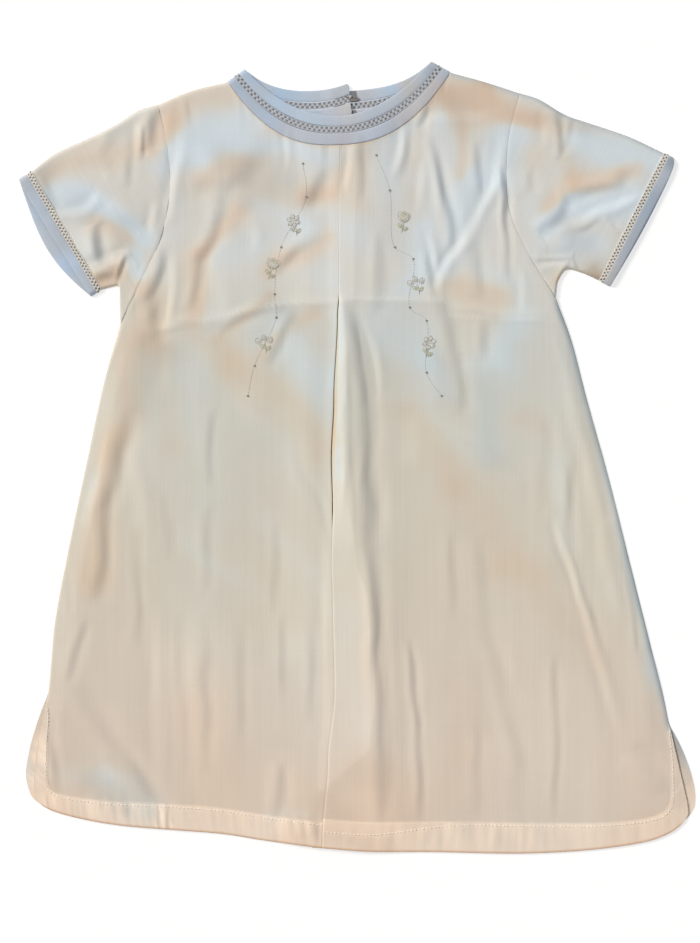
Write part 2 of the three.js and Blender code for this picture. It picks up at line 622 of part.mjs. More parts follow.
const shirt = new THREE.Group();
shirt.add(
  frontPanel(),
  backPanel("back_panel_left", SIDES.left),
  backPanel("back_panel_right", SIDES.right),
  ...NECK_STRIPS.map(neckStrip),
);
for (const [name, side] of Object.entries(SIDES))
  shirt.add(
    sleeve(`sleeve_${name}`, side),
    cuffStrip(`cuff_ladder_${name}`, side, SEAM, LADDER, THREAD),
    cuffStrip(`cuff_band_${name}`, side, LADDER + SEAM, LADDER + CUFF, BLUE),
  );

const outline = new THREE.Box3().setFromObject(shirt, true);
const middle = outline.getCenter(new THREE.Vector3());
for (const mesh of shirt.children) mesh.geometry.translate(-middle.x, -middle.y, -outline.min.z);
export default shirt;
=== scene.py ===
"""A baby's short-sleeved shirt of cotton lawn, laid flat on its back.

The front hangs from a neckband and falls in one inverted pleat over two backs that lap at the centre.
Pale blue bands go round the neck and the cuffs, each set on by a ladder of hemstitching, and a light
embroidery runs down both sides of the chest. The cut is in millimetres, with X across the shirt, Y
towards its neck and Z up from the surface that it lies on. Left and right are as it lies.
"""

import json
import math
from collections import namedtuple
from types import SimpleNamespace

import bmesh
import bpy
import numpy as np
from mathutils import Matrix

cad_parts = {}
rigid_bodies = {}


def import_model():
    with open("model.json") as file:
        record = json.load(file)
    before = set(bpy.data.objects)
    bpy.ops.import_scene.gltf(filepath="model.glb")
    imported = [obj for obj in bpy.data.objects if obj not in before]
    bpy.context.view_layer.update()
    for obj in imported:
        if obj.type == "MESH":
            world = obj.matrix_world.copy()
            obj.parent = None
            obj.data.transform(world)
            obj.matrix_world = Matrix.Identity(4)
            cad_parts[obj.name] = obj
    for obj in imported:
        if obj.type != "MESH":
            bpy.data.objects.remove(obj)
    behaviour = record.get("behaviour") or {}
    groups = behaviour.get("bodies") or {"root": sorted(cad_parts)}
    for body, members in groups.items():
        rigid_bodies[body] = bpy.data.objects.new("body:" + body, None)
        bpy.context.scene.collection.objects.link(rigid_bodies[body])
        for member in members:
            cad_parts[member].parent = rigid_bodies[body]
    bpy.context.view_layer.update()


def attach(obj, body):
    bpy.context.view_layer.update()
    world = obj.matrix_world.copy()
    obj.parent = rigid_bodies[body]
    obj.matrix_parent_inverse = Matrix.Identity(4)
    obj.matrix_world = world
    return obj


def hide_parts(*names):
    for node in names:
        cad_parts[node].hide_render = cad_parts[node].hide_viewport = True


bl_info = {
    "name": "Baby's Day Shirt",
    "version": (1, 0, 0),
    "blender": (4, 5, 0),
    "location": "View3D > Sidebar > Shirt",
    "description": "Dresses the pieces of a baby's lawn shirt that lies flat on its back",
    "category": "Object",
}

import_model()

# -------- driving sizes, in millimetres

MM = 0.001
PLACE = (0.87, -0.54)  # from the origin of the cut to the frame's origin
CLOTH = 0.35  # thickness of one layer
LAYER = 0.95  # rise from one layer to the next, air and all
PLY = 0.5  # rise from one to the next of the pleat's pressed folds
FLOOR_CLEAR = 0.25  # middle of the lowest layer above the floor
SEAM = 0.12  # the gap between a panel's edge and the strip that it is sewn to
EASE = 1.5  # how far the front lies off the backs, away from its edges
HEM = 11  # depth of the hem at the corners; it is deeper between them
HEM_PUCKER = 0.28  # how far the hem's puckers rise
HEM_RAISE = 0.42  # how far the hem's turning lifts it
BACK_OVERLAP = 10
LAP_CLIMB = 9  # how far across the left back rises onto the right one
LADDER = 3.3  # width of the cuff's ladder
CUFF = 6.2  # width of the cuff's band
CUFF_TAPER = 0.3  # share of the cuff's band that tips out of sight at the underarm
CUFF_RISE = 0.28  # middle of the cuff's strips above the cloth's underside
NECK_RISE = 0.3  # middle of the neck's strips above the cloth under them
BAND_THICK = 0.8
# The dark sheet behind each ladder is painted shadow, seen through the ladder's holes.
HOLE_SHADOW_THICK = 0.1  # thickness of the dark ground behind a ladder
ROLL = 2.6  # radius of the soft roll where the front turns into the back
LEAST_RISE = 0.35  # the top layer's lowest folds level out above this
PLEAT_MIDDLE = -8
PLEAT_WIDTH = 40
PLEAT_SPREAD = 24  # how far aside the cloth takes to come down off the pleat
ARMHOLE_SHARE = 0.31  # of a panel's length
SHOULDER_SHARE = 0.36  # of a panel's half width
PANEL_LENGTH = 420
PANEL_HALF = 188  # half of a panel's width at the hem
SLEEVE_LENGTH = 62
DRIFT = 1.6  # how far the folds wander off their lines
FRONT_FOOT = -233.6

# -------- the cut, as it lies

Edge = namedtuple("Edge", "x y half lean drop power")
NECK = {
    "front_edge": Edge(x=-12, y=235, half=55.8, lean=2.3, drop=30.6, power=2),
    "front_seam": Edge(x=-11.3, y=228, half=66.7, lean=2.9, drop=40.9, power=2.5),
    "back_edge": Edge(x=-12, y=235, half=55.8, lean=2.3, drop=15, power=3.4),
    "back_seam": Edge(x=-11.3, y=228, half=66.7, lean=2.9, drop=27.4, power=3),
}
# where each strip round the neck lies, as shares of the width from the neck's edge to its seam
EDGE_BAND = (0, 0.37)
NECK_LADDER = (0.37, 0.585)
YOKE_BAND = (0.585, 1)

# The lines of each side, and how that side lies.
LEFT = SimpleNamespace(
    name="left",
    sign=-1,
    shoulder=[(-120, 211.6), (-99.6, 220)],
    armhole=[(-120, 211.6), (-114.4, 186), (-113, 160), (-118.4, 131), (-128.6, 109), (-142.5, 79.5)],
    side=[(-142.5, 79.5), (-152, 46), (-162, 0), (-172.5, -50), (-181.6, -98), (-185.6, -140)],
    front_vent=[
        (-188.4, -152), (-191.2, -168), (-193.2, -184), (-193.9, -193), (-193.8, -200), (-193, -204.4),
    ],
    back_vent=[
        (-190, -152), (-195.8, -170), (-199.2, -188), (-198.6, -195), (-197.2, -200), (-195.6, -203.6),
    ],
    front_hem=[
        (-193, -204.4), (-190.8, -207), (-185.4, -210.5), (-173, -214.6), (-145.5, -219.9),
        (-109.8, -223), (-80.4, -225.4), (-55, -229.4),
    ],
    back_hem=[
        (-195.6, -203.6), (-192.6, -206.4), (-185.4, -209.8), (-173, -213.8), (-145, -218.8),
        (-110, -221.6), (-80, -223.8), (-55, -227.4),
    ],
    sleeve_top=[
        (-120, 211.6), (-132, 207.9), (-143.4, 200.7), (-159.6, 192.3), (-181.2, 182.4), (-195.6, 171.4),
    ],
    sleeve_under=[(-142.5, 79.5), (-143, 92), (-143.8, 102.6), (-147.4, 102.2), (-153.6, 100.6)],
    cuff_spill=6.8,  # how far the cuff's under side shows past its upper one
    roll=2.6,  # radius of the soft roll down the side
    foot=-231.8,  # foot of the back's middle
    neck_lift=4.6,  # how far the back's neck is pulled up
    hem_gain=4,  # how much deeper the hem is between its corners
    sleeve_ditch=0.35,  # depth of the sleeve's seam
    corner=0.1,  # how much of the cuff's top corner is cut off
    stitch_gain=0,  # how much farther in the hem is stitched near the pleat
    pucker=1,  # strength of the hem's puckers
    # the next two set how dark the painted shade goes on the rolled side and on the back's edge
    rim=0,  # how dark the rolled side goes
    back_edge_shade=0.3,  # how dark the back's edge goes
    vent_fade=0.45,  # how far the hem's paler tone fades up the vent
    vent_share=0.86,  # where down the panel the vent starts
    vent_hem=0.38,  # width of the vent's hem, as a share of the foot's
    vent_rise=72,  # how far above the foot the hem gets that narrow
)
RIGHT = SimpleNamespace(
    name="right",
    sign=1,
    shoulder=[(97, 218.4), (76, 225.2)],
    armhole=[(97, 218.4), (90.6, 194), (89, 172), (91.4, 146), (101.6, 123), (118.8, 95.4)],
    side=[
        (118.8, 95.4), (127.8, 71), (137.6, 34), (150.6, -13), (162.6, -61), (174.6, -109), (183.4, -144),
    ],
    front_vent=[(186.8, -161), (190.2, -176), (193.4, -190), (196.2, -202), (197.6, -209), (197.9, -213.4)],
    back_vent=[
        (187.2, -161), (190.4, -166.6), (195.8, -178), (200.6, -192), (202.4, -203), (201.8, -209.4),
        (200.4, -212.4),
    ],
    front_hem=[
        (197.9, -213.4), (196, -217.2), (191, -222.2), (184, -226.2), (173.7, -229.8), (142.2, -234.6),
        (100.2, -237), (47.7, -236.2), (6, -235.8),
    ],
    back_hem=[
        (200.4, -212.4), (197.6, -216.2), (191.4, -221.4), (184, -225.4), (173, -228.8), (142, -233.4),
        (100, -235.6), (48, -234.8), (10, -234.4),
    ],
    sleeve_top=[(97, 218.4), (108, 215), (124.2, 205.5), (138, 200.7), (162.6, 192.3), (183.6, 182.4)],
    sleeve_under=[(118.8, 95.4), (120.4, 106), (125.4, 112.4), (134, 110.8), (144.6, 106.2)],
    cuff_spill=0.8,
    roll=4.4,
    foot=-233.8,
    neck_lift=-1.4,
    hem_gain=6,
    sleeve_ditch=0.12,
    corner=0.5,
    stitch_gain=6,
    pucker=0.5,
    rim=1,
    back_edge_shade=1,
    vent_fade=0.6,
    vent_share=0.882,
    vent_hem=0.22,
    vent_rise=46,
)
SIDES = (LEFT, RIGHT)

# The pleat, section by section down the front: the line that its two folds meet on, how far they
# stand apart, and how deep the cloth is folded under on each side.
Pleat = namedtuple("Pleat", "y line gap left_depth right_depth")
PLEAT = [
    Pleat(190, -10.8, -0.3, 8, 9.8),
    Pleat(102, -11.4, -0.3, 7, 9),
    Pleat(84, -11.8, 1.3, 6.6, 7),
    Pleat(35, -13.4, 2.5, 6.4, 6.6),
    Pleat(-1, -15, 2.3, 6.2, 7.4),
    Pleat(-26, -15.1, 0.7, 6, 9),
    Pleat(-50, -15.4, -0.3, 6, 13),
    Pleat(-62, -15.8, -0.3, 6, 15),
    Pleat(-86, -15, -0.3, 6, 21),
    Pleat(-140, -14, -0.3, 6, 24.5),
    Pleat(-182, -18, -0.3, 6, 24),
    Pleat(-232, -21.6, -0.3, 6, 22),
]

# The folds in the top layer. Each drops by `drop` from its upper left side to its lower right one,
# bends aside by `bow` and rises along its middle by `rise`.
Fold = namedtuple("Fold", "x y to_x to_y width drop bow rise", defaults=(0, 0))
FOLDS = [
    Fold(*row)
    for row in (
        # beside the pleat
        (-8, 96, -9, -40, 2.6, 0, 0.5, 0.5), (-7, 94, 5, 32, 5.5, 0.95, 0.5),
        (3, 54, 8, -52, 5.5, 0.85, 0.5), (6, -20, 14, -226, 5.5, 0.85, 1.6), (3, 80, 13, 38, 5, -0.35, 1),
        (-22, -40, -19, -180, 5, -0.2, 1), (-42, 10, -18, -54, 4, 0.3, 2),
        # the left of the chest
        (-56, 194, -80, 160, 8, 0.75, 2), (-80, 166, -84, 138, 6, 0.5, 1),
        (-83, 146, -98, 116, 4.5, 0.7, 1), (-97, 126, -98, 88, 4.5, 0.6, 1), (-100, 160, -80, 165, 7, 0.35),
        (-20, 172, -31, 148, 6, 0.7, 1), (-22, 134, -48, 109, 5, 0.5, -1), (-116, 126, -128, 90, 4, 0.6, 1),
        (-102, 214, -101, 200, 3, 0.3), (-108, 202, -113, 138, 5, -0.5, 1), (-112, 120, -114, 80, 4, -0.35),
        (-70, 142, -60, 126, 6, -0.3, 2), (-90, 116, -78, 90, 7, -0.35, 1), (-45, 194, -43, 174, 2.6, -0.4),
        (-4, 188, -6, 160, 3.5, -0.5), (-123, 114, -140, 82, 3, 0, 0, 0.5),
        # the right of the chest
        (3, 192, 3, 156, 3.5, 0.45, 0.5), (13, 136, 12, 84, 5, 0.55, 1), (27, 190, 24, 164, 4, 0.35, 0.5),
        (43, 192, 58, 126, 4.5, 0.8, 1), (40, 122, 46, 94, 4, 0.5), (71, 190, 72, 160, 4.5, 0.6, -1),
        (69, 134, 73, 94, 5.5, 0.55, -1), (86, 176, 88, 106, 3, 0.7, 1.5), (35, 197, 43, 210, 3.5, 0.5),
        (76, 82, 77, 58, 4, 0.3), (25, 198, 22, 170, 3.5, -0.5), (42, 205, 86, 206, 4.5, -0.35, 1),
        (36, 178, 36, 148, 4, -0.3), (85, 172, 62, 126, 4, -0.5, -2), (66, 133, 46, 101, 3.5, -0.55, -1),
        (89, 198, 76, 150, 5, -0.4), (41, 136, 47, 110, 3.5, -0.4), (96, 114, 98, 86, 4, -0.3),
        # the crease across the body
        (-124, 77.5, -80, 83.5, 2.6, 0, 0, 0.6), (-92, 82, -44, 92, 2.6, 0, -1, 0.6),
        (-56, 91.6, -12, 93, 2.4, 0, 0, 0.6), (-52, 91, -84, 76, 4, 0.5),
        (-10, 93.5, 54, 93, 2.4, 0, 0, 0.45), (54, 91.5, 84, 85.5, 2.4, 0, 0, 0.7),
        (78, 86, 114, 84, 2.4, 0, 0, 0.6), (-37, 88, -55, 56, 4.5, 0.45, 1), (50, 104, 61, 54, 6, 0.6, -1),
        (61, 62, 62, 24, 5, 0.4),
        # the left of the skirt
        (-138, 30, -153, -32, 5.5, 0.7, 1), (-151, -16, -155, -86, 5.5, 0.7, 1),
        (-150, 12, -164, -42, 5, -0.3), (-123, 102, -121, 70, 6, 0.6), (-128, 84, -126, 38, 8, 0.35),
        (-139, 10, -128, -64, 7, -0.45, 1), (-176, -66, -173, -94, 3.5, 0.4),
        (-164, -98, -174, -134, 4, 0.5), (-168, -128, -150, -168, 7, 0.4, -2),
        (-160, -154, -116, -210, 6, 0.9, -1), (-122, -205, -117, -228, 1.4, 0.75),
        (-116, -205, -112, -228, 1.4, 0.8), (-189, -158, -180, -200, 4.5, 0.6),
        (-116, -22, -112, -62, 5, 0.25), (-90, 30, -89, -16, 4, 0.3), (-91, -28, -90, -82, 5, 0.4),
        (-92, -94, -91, -192, 5, 0.35), (-133, -40, -131, -112, 4, 0.3), (-107, -92, -105, -192, 4, 0.2),
        (-122, -88, -120, -192, 5, -0.25, 1), (-72, -98, -70, -178, 5, 0.25), (-50, -38, -50, -92, 4, 0.25),
        (-46, -94, -45, -144, 4, 0.3), (-48, -184, -48, -220, 4.5, 0.5), (-30, -100, -30, -160, 4, 0.2, 1),
        # the right of the skirt
        (31, -110, 37, -168, 3, 0.5), (36, -150, 37, -224, 3.5, 0.6), (56, -44, 55, -94, 4, 0.25),
        (72, -48, 76, -114, 6, 0.35), (77, -108, 99, -190, 6, 0.5, 1), (70, -158, 72, -216, 4, 0.25),
        (118, -118, 118, -218, 3.5, 0.35), (57, 17, 102, -18, 3, 0, 1, 0.5),
        (92, -13, 122, -32, 4, 0, 1, 0.4), (118, -38, 138, -98, 3, -0.6, -1),
        (133, -86, 155, -164, 4.5, -0.4, 1), (112, 24, 112, -32, 6, 0.3), (126, -6, 128, -56, 4, 0.5),
        (133, -74, 147, -116, 4, 0.35, 1), (120, 70, 154, -104, 6, -0.4, 2),
        (159, -60, 169, -118, 2.6, 0.6), (162, -176, 184, -196, 8, 0.5),
        # the left sleeve
        (-124, 208, -124, 184, 5, 1), (-129, 198, -128, 180, 2, 0.4), (-133, 200, -133, 178, 3, -0.4),
        (-188, 168, -180, 150, 3.5, 0.5), (-180, 146, -154, 158, 4.5, -0.7, -3),
        (-172, 144, -163, 118, 7, -0.5), (-157, 140, -152, 114, 5, 1.2),
        (-162, 111, -136, 124, 4, -0.6, -1), (-158, 106, -143, 108, 4, 0.7, 1),
        (-163, 112, -145, 121, 2.6, 0, -1.6, 0.5), (-147, 121, -130.5, 112, 1.7, 0, 4.5, 0.55),
        (-139, 120, -145, 104, 2.5, 0.5), (-137, 182, -138, 162, 3.5, 0.4), (-140, 200, -152, 178, 5, 0.3),
        (-166, 180, -148, 172, 6, 0.35), (-150, 148, -128, 136, 7, 0.4), (-121, 154, -122, 132, 4, -0.35),
        # the right sleeve
        (119, 208, 122, 180, 3.5, 0.7), (127, 202, 125, 184, 3.5, 0.35), (112, 208, 110, 186, 4, -0.35),
        (102, 174, 103, 158, 4, 0.4), (108, 133, 126, 154, 5, 0.9, -2), (120, 152, 158, 163, 5.5, 0.8, 1),
        (154, 160, 160, 174, 5, 0.35), (111, 135, 168, 158, 4, -0.6, -2),
        (126, 141, 143, 140, 2.5, 0.35, -4), (114, 128, 130, 127, 5, 0.5, -2),
        (107, 119.5, 131, 121.5, 1.8, 0.6, -2), (130, 122, 134, 113, 1.8, 0.5, -1),
        (129, 120, 119, 102, 2.2, 0.5), (109, 117, 126, 115, 4, -0.35), (134, 119, 142, 112, 4, -0.35),
        (149, 144, 157, 136, 2.5, 0.3),
    )
]

# Soft unevenness of the cloth between its folds: the size of its cells, how far they rise, and how
# much more than that they rise above the waist.
Crumple = namedtuple("Crumple", "cell_x cell_y rise more_above seed")
CRUMPLES = [
    Crumple(58, 74, 0.7, 0, 11),
    Crumple(22, 46, 0.3, 0.4, 12),
    Crumple(9, 26, 0.1, 0.6, 13),
    Crumple(13, 9, 0.05, 1.2, 15),
    Crumple(5, 6, 0.022, 0.8, 14),
]

# Painted light on the cloth: patches of warm light, or, with a negative amount, of cool, blue skylight.
Patch = namedtuple("Patch", "x y to_x to_y width amount")
LIGHT_PATCHES = [
    Patch(*row)
    for row in (
        # shoulders and chest
        (-125, 190, -115, 205, 9, 1.3), (-114, 208, -78, 216, 7, 0.6), (-110, 188, -74, 194, 12, -1.3),
        (-66, 187, -20, 181, 6, -0.9), (-92, 164, -66, 176, 9, 0.7), (-34, 160, -14, 161, 7, 1.4),
        (-2, 184, 0, 150, 8, 0.5), (-60, 150, -32, 138, 7, -0.4), (-103, 94, -96, 124, 6, 1),
        (-95, 126, -76, 145, 6, 1), (-86, 118, -60, 126, 9, -0.4), (-50, 110, -18, 130, 6, 0.9),
        (-118, 170, -114, 130, 8, -0.5), (46, 212, 76, 217, 8, 2), (76, 212, 106, 205, 8, 1.8),
        (92, 192, 82, 172, 9, -1.1), (76, 164, 50, 116, 10, -0.8), (64, 194, 63, 168, 5, 0.7),
        (40, 134, 30, 100, 8, -0.7), (22, 196, 22, 160, 8, -0.4), (58, 104, 92, 90, 9, 0.8),
        (46, 206, 46, 196, 5, -0.6), (34, 204, 84, 200, 9, 0.5), (-20, 182, -12, 172, 9, 0.45),
        (28, 184, 30, 172, 8, 0.55), (76, 180, 104, 178, 9, 0.35), (-92, 184, -90, 176, 8, -0.45),
        (-64, 158, -40, 154, 9, 0.35), (-118, 160, -114, 130, 8, 0.35), (-40, 132, 0, 130, 9, -0.35),
        (52, 136, 52, 126, 8, 0.4), (-92, 86, -88, 78, 7, -0.35), (6, 88, 4, 72, 7, 0.3),
        (-9, 90, -11, 40, 3, -0.6), (-11, 6, -10, -8, 3, -0.5), (-44, 206, 4, 204, 8, -0.4),
        (-68, 206, -60, 200, 8, -0.35), (52, 206, 60, 202, 8, 0.3), (28, 158, 32, 150, 8, 0.35),
        (-22, 110, -14, 104, 8, -0.3), (76, 110, 100, 106, 9, -0.35), (100, 150, 104, 128, 8, -0.35),
        # sleeves
        (-188, 156, -186, 150, 7, 0.4), (-164, 130, -160, 126, 7, -0.3), (172, 158, 176, 150, 7, 0.5),
        (-164, 108, -160, 102, 6, 0.6), (148, 108, 156, 104, 6, 0.7), (-180, 172, -144, 184, 9, 0.6),
        (-178, 158, -160, 150, 8, -1.2), (-160, 149, -130, 131, 7, -1.3), (-160, 136, -142, 130, 6, 0.8),
        (-158, 106, -146, 110, 6, 2.2), (-134, 118, -130, 106, 5, -0.9), (132, 186, 178, 176, 7, -1.2),
        (108, 148, 130, 162, 6, 0.9), (130, 163, 168, 174, 6, 1.1), (106, 136, 130, 149, 5, -1.5),
        (130, 149, 178, 157, 8, -1.6), (120, 196, 124, 176, 8, 0.5), (124, 111, 150, 105, 5, 2),
        (118, 128, 142, 126, 6, -0.7),
        # skirt, on the left
        (-116, 60, -112, 10, 9, 0.3), (-160, -10, -160, -36, 6, -0.35), (-128, 96, -122, 72, 9, 0.9),
        (-131, 68, -145, 9, 10, 0.7), (-145, 9, -157, -70, 8, 0.9), (-160, -68, -158, -80, 7, 0.5),
        (-102, 88, -74, 60, 9, 0.5), (-74, 60, -22, 4, 10, 0.6), (-86, 74, -50, 94, 4, 0.6),
        (-58, 62, -24, 90, 4, 0.6), (-46, 74, -22, 44, 12, -0.5), (-108, 50, -86, -20, 20, -0.25),
        (-104, -46, -60, -84, 7, -0.2), (-58, -40, -22, -76, 7, -0.2), (-34, -120, -26, -180, 14, -0.2),
        (-190, -196, -164, -202, 6, 0.4), (-172, -196, -146, -192, 10, -0.35),
        (-150, -190, -124, -208, 8, -0.4), (-92, -150, -84, -206, 18, 0.3),
        (-50, -214, -28, -214, 4, -0.35), (-70, -196, 50, -206, 26, 0.32), (-30, -228, 6, -226, 8, 0.2),
        # skirt, on the right
        (8, 80, 40, 62, 16, -0.6), (28, 40, 54, 6, 9, -0.3), (40, 62, 48, 40, 10, -0.5),
        (98, 88, 88, 58, 9, -0.8), (76, 56, 76, 8, 12, -0.4), (98, 24, 116, 8, 8, 0.3),
        (118, 6, 126, -46, 10, -0.35), (26, 26, 60, -14, 9, 0.3), (60, -14, 96, -66, 12, 0.35),
        (96, -66, 142, -118, 14, 0.35), (-6, -100, 0, -165, 12, -0.3), (10, -196, 22, -220, 18, 0.8),
        (-20, -206, 0, -216, 9, 0.6), (60, -140, 66, -180, 12, 0.25), (144, 0, 172, -110, 6, -0.4),
        (176, -116, 190, -166, 6, -0.6),
        # the hem, the vents and above them
        (-192, -204, -178, -211, 9, 0.55), (-133, -215, -121, -217, 9, -0.32),
        (-36, -230, 14, -231, 10, 0.5), (160, -228, 188, -221, 9, 0.3),
        (-170, -190, -126, -207, 12, -0.22), (160, -66, 184, -146, 5, -0.35),
        (-198.5, -172, -198.5, -196, 4, -0.5), (193, -164, 199, -186, 4, -0.75),
        (10, -198, 18, -214, 10, 0.35),
        # shoulders and sleeves, over the patches above
        (-98, 175, -86, 181, 8, -0.3), (120, 182, 128, 176, 8, -0.3), (142, 113, 150, 107, 5, 0.5),
    )
]

# Painted shade on the cloth where it lies in shadow, or, with a negative amount, painted light where it is
# paler.
SHADE_PATCHES = [
    Patch(*row)
    for row in (
        (52, 210, 60, 200, 10, 0.1), (118, 208, 134, 196, 9, 0.12), (-76, 178, -34, 160, 12, 0.1),
        (-20, 181, 0, 181, 8, 0.08), (116, 140, 132, 126, 9, 0.12), (140, 112, 156, 104, 7, 0.12),
        (-116, 66, -132, 28, 10, 0.1), (-50, 90, -38, 78, 8, 0.09), (76, 44, 78, 2, 9, 0.085),
        (52, 60, 54, 36, 9, 0.08), (-160, -196, -134, -206, 8, 0.1), (-50, 206, 0, 204, 9, -0.08),
        (-108, -120, -80, -200, 20, -0.07), (-190, -165, -192, -205, 7, -0.06),
        (-4, -200, 10, -212, 10, -0.08), (96, -150, 170, -200, 30, -0.03), (-188, 176, -182, 150, 8, 0.1),
        (-168, 150, -164, 146, 7, 0.08), (-68, 152, -64, 160, 8, 0.1), (-92, 182, -90, 176, 8, -0.07),
        (-140, 136, -142, 126, 8, 0.09), (-164, 132, -160, 128, 7, -0.04), (-68, 62, -64, 32, 10, -0.055),
        (52, 86, 56, 80, 8, 0.05), (28, 14, 30, 4, 8, -0.06), (146, 16, 150, -40, 5, -0.08),
        (-44, -130, -42, -170, 10, 0.055), (76, -128, 78, -160, 9, 0.05), (146, 112, 150, 106, 7, 0.08),
        (-44, -228, 4, -230, 6, 0.06), (176, -70, 184, -124, 3, 0.12), (160, -66, 183, -143, 5, 0.09),
        (192.5, -168, 199, -186, 3.5, -0.05), (10, -198, 18, -214, 10, -0.08),
        (-176, -200, -158, -206, 9, -0.06), (-146, -180, -122, -206, 4, 0.05),
        (-120, -211, -118.5, -221, 1.1, 0.12), (-111.5, -211, -109.5, -222, 1.2, 0.16),
        (-138, -212, -126, -216, 5, 0.04), (168, -78, 177, -116, 4, 0.1), (141, 26, 146, 4, 4, -0.08),
        (-190, 176, -182, 172, 8, 0.06), (120, 182, 128, 176, 8, 0.05), (142, 113, 150, 107, 5, 0.08),
        (-192, 134, -184, 126, 7, -0.06),
    )
]

# The chest's crease, where the shirt was folded away: painted shade below it, a painted highlight above.
FOLD_LINE = [
    (-130, 74), (-116, 76.5), (-86, 82.5), (-71, 86.7), (-44, 91.5),
    (-14, 92.7), (-8, 94.5), (52, 93.3), (55, 84), (109, 81.3), (122, 80),
]

# The right edge of the flap that stands up beside the pleat's opening, down the front.
FLAP_EDGE = [(-96, -9.4), (-68, -7.6), (-35, -6.2), (0, -5.7), (32, -3.2), (65, -2.4), (100, -1)]

# Painted light and shade on the bands: a brighter, sky-lit blue where `sky` is positive and a warmer grey
# where it is negative, and painted paler or darker by `tone`.
Spot = namedtuple("Spot", "x y reach sky tone")
BAND_LIGHT = [
    Spot(*row)
    for row in (
        # round the neck
        (-53, 208, 10, 1, 0.04), (-70, 222, 9, 0.8, -0.03), (-45, 221, 7, 1.2, 0),
        (-36, 214, 14, 0.6, 0.02), (-6, 207, 6, -0.7, 0.1), (-22, 198, 13, 0.2, 0.02),
        (8, 192, 10, 0.3, 0.06), (34, 208, 12, -0.7, -0.02), (18, 223, 9, 0.8, 0.06),
        (30, 222, 5, -1.2, -0.06), (47, 221, 6, -1.4, 0), (45, 232, 6, 0, -0.16), (55, 225, 6, 0.3, -0.1),
        # round the cuffs
        (-199, 160, 9, -0.1, -0.06), (-188, 140, 18, 0.2, 0), (-176, 115, 7, 1, 0.08),
        (-164, 104, 7, -0.3, -0.02), (189, 177, 6, 0.3, -0.34), (178, 156, 18, 0.3, -0.2),
        (164, 130, 18, 0.05, -0.2), (148, 109, 9, -0.9, -0.14),
    )
]

# -------- curves, patches and noise


def lerp(start, end, share):
    return start + (end - start) * share


def smoothstep(value, low, high):
    """0 below `low`, 1 above `high` and eased between; falling where `low` is the higher of them."""
    share = np.clip((np.asarray(value, float) - low) / (high - low), 0, 1)
    return share * share * (3 - 2 * share)


def smooth_line(rows, even=False):
    """A smooth line through the rows, as a function from shares of 0 to 1 to points.

    The shares count the rows, or where `even` is set the distance along them.
    """
    points = np.array(rows, float)
    padded = np.vstack([2 * points[0] - points[1], points, 2 * points[-1] - points[-2]])
    gaps = np.sqrt(np.linalg.norm(np.diff(padded, axis=0), axis=1))
    runs = lengths_along(points)

    def at(share):
        share = np.clip(np.asarray(share, float), 0, 1)
        place = share * (len(points) - 1)
        if even:
            place = np.interp(share * runs[-1], runs, np.arange(len(points)))
        k = np.minimum(place.astype(int), len(points) - 2)
        t = (place - k)[..., None]
        before, start, end, after = (padded[k + n] for n in range(4))
        gap_in, gap, gap_out = (gaps[k + n][..., None] for n in range(3))
        leave = gap * ((start - before) / gap_in - (end - before) / (gap_in + gap) + (end - start) / gap)
        reach = gap * ((end - start) / gap - (after - start) / (gap + gap_out) + (after - end) / gap_out)
        square = 3 * (end - start) - 2 * leave - reach
        cube = 2 * (start - end) + leave + reach
        return start + leave * t + square * t**2 + cube * t**3

    return at


def straight(start, end):
    """A straight line between two points, as a function of the same kind."""
    return lambda share: lerp(start, end, np.asarray(share, float)[..., None])


def joined(first, share, second):
    """Two lines end to end, the first of them over that share of 0 to 1."""

    def at(t):
        t = np.asarray(t, float)
        early = (t <= share)[..., None]
        return np.where(early, first(t / share), second((t - share) / (1 - share)))

    return at


def patch(top, bottom, left, right, downs, acrosses):
    """Points filled in between four edges: `top` and `bottom` run across, `left` and `right` down."""
    u, v = acrosses[None, :, None], downs[:, None, None]
    corners = top(0) * (1 - u) * (1 - v) + top(1) * u * (1 - v) + bottom(0) * (1 - u) * v + bottom(1) * u * v
    across = top(acrosses)[None] * (1 - v) + bottom(acrosses)[None] * v
    down = left(downs)[:, None] * (1 - u) + right(downs)[:, None] * u
    return across + down - corners


def noise(x, y, cell_x, cell_y, seed):
    """Smooth noise from about -1 to 1, by a cubic B-spline over a lattice of random numbers."""
    size = 64
    lattice = np.random.default_rng(seed).uniform(-1, 1, (size, size))
    places = [np.asarray(x, float) / cell_x, np.asarray(y, float) / cell_y]
    cells = [np.floor(place).astype(int) for place in places]
    weights = []
    for place, cell in zip(places, cells):
        t = place - cell
        weights.append(((1 - t) ** 3, 3 * t**3 - 6 * t**2 + 4, -3 * t**3 + 3 * t**2 + 3 * t + 1, t**3))
    total = 0
    for i, across in enumerate(weights[0]):
        for j, down in enumerate(weights[1]):
            total = total + across * down * lattice[(cells[0] + i) % size, (cells[1] + j) % size]
    return total / 36 * 1.9


def beside(x, y, row):
    """How far along a row's segment points lie, as a share, how far aside, and its length."""
    run, climb = row.to_x - row.x, row.to_y - row.y
    length = math.hypot(run, climb)
    share = ((x - row.x) * run + (y - row.y) * climb) / length**2
    aside = (run * (y - row.y) - climb * (x - row.x)) / length
    return share, aside, length


def lengths_along(points):
    """The distance along a line of points, from its first one."""
    gaps = np.linalg.norm(np.diff(points, axis=0), axis=1)
    return np.concatenate([[0], np.cumsum(gaps)])


# -------- the heights of the layers


def hump(distance, width):
    """1 at no distance, falling to nothing on both sides over about twice the width."""
    return np.exp(-((distance / width) ** 2))


def fade(distance, reach):
    """1 at no distance, falling away steeply at first and then slowly."""
    return np.exp(-distance / reach)


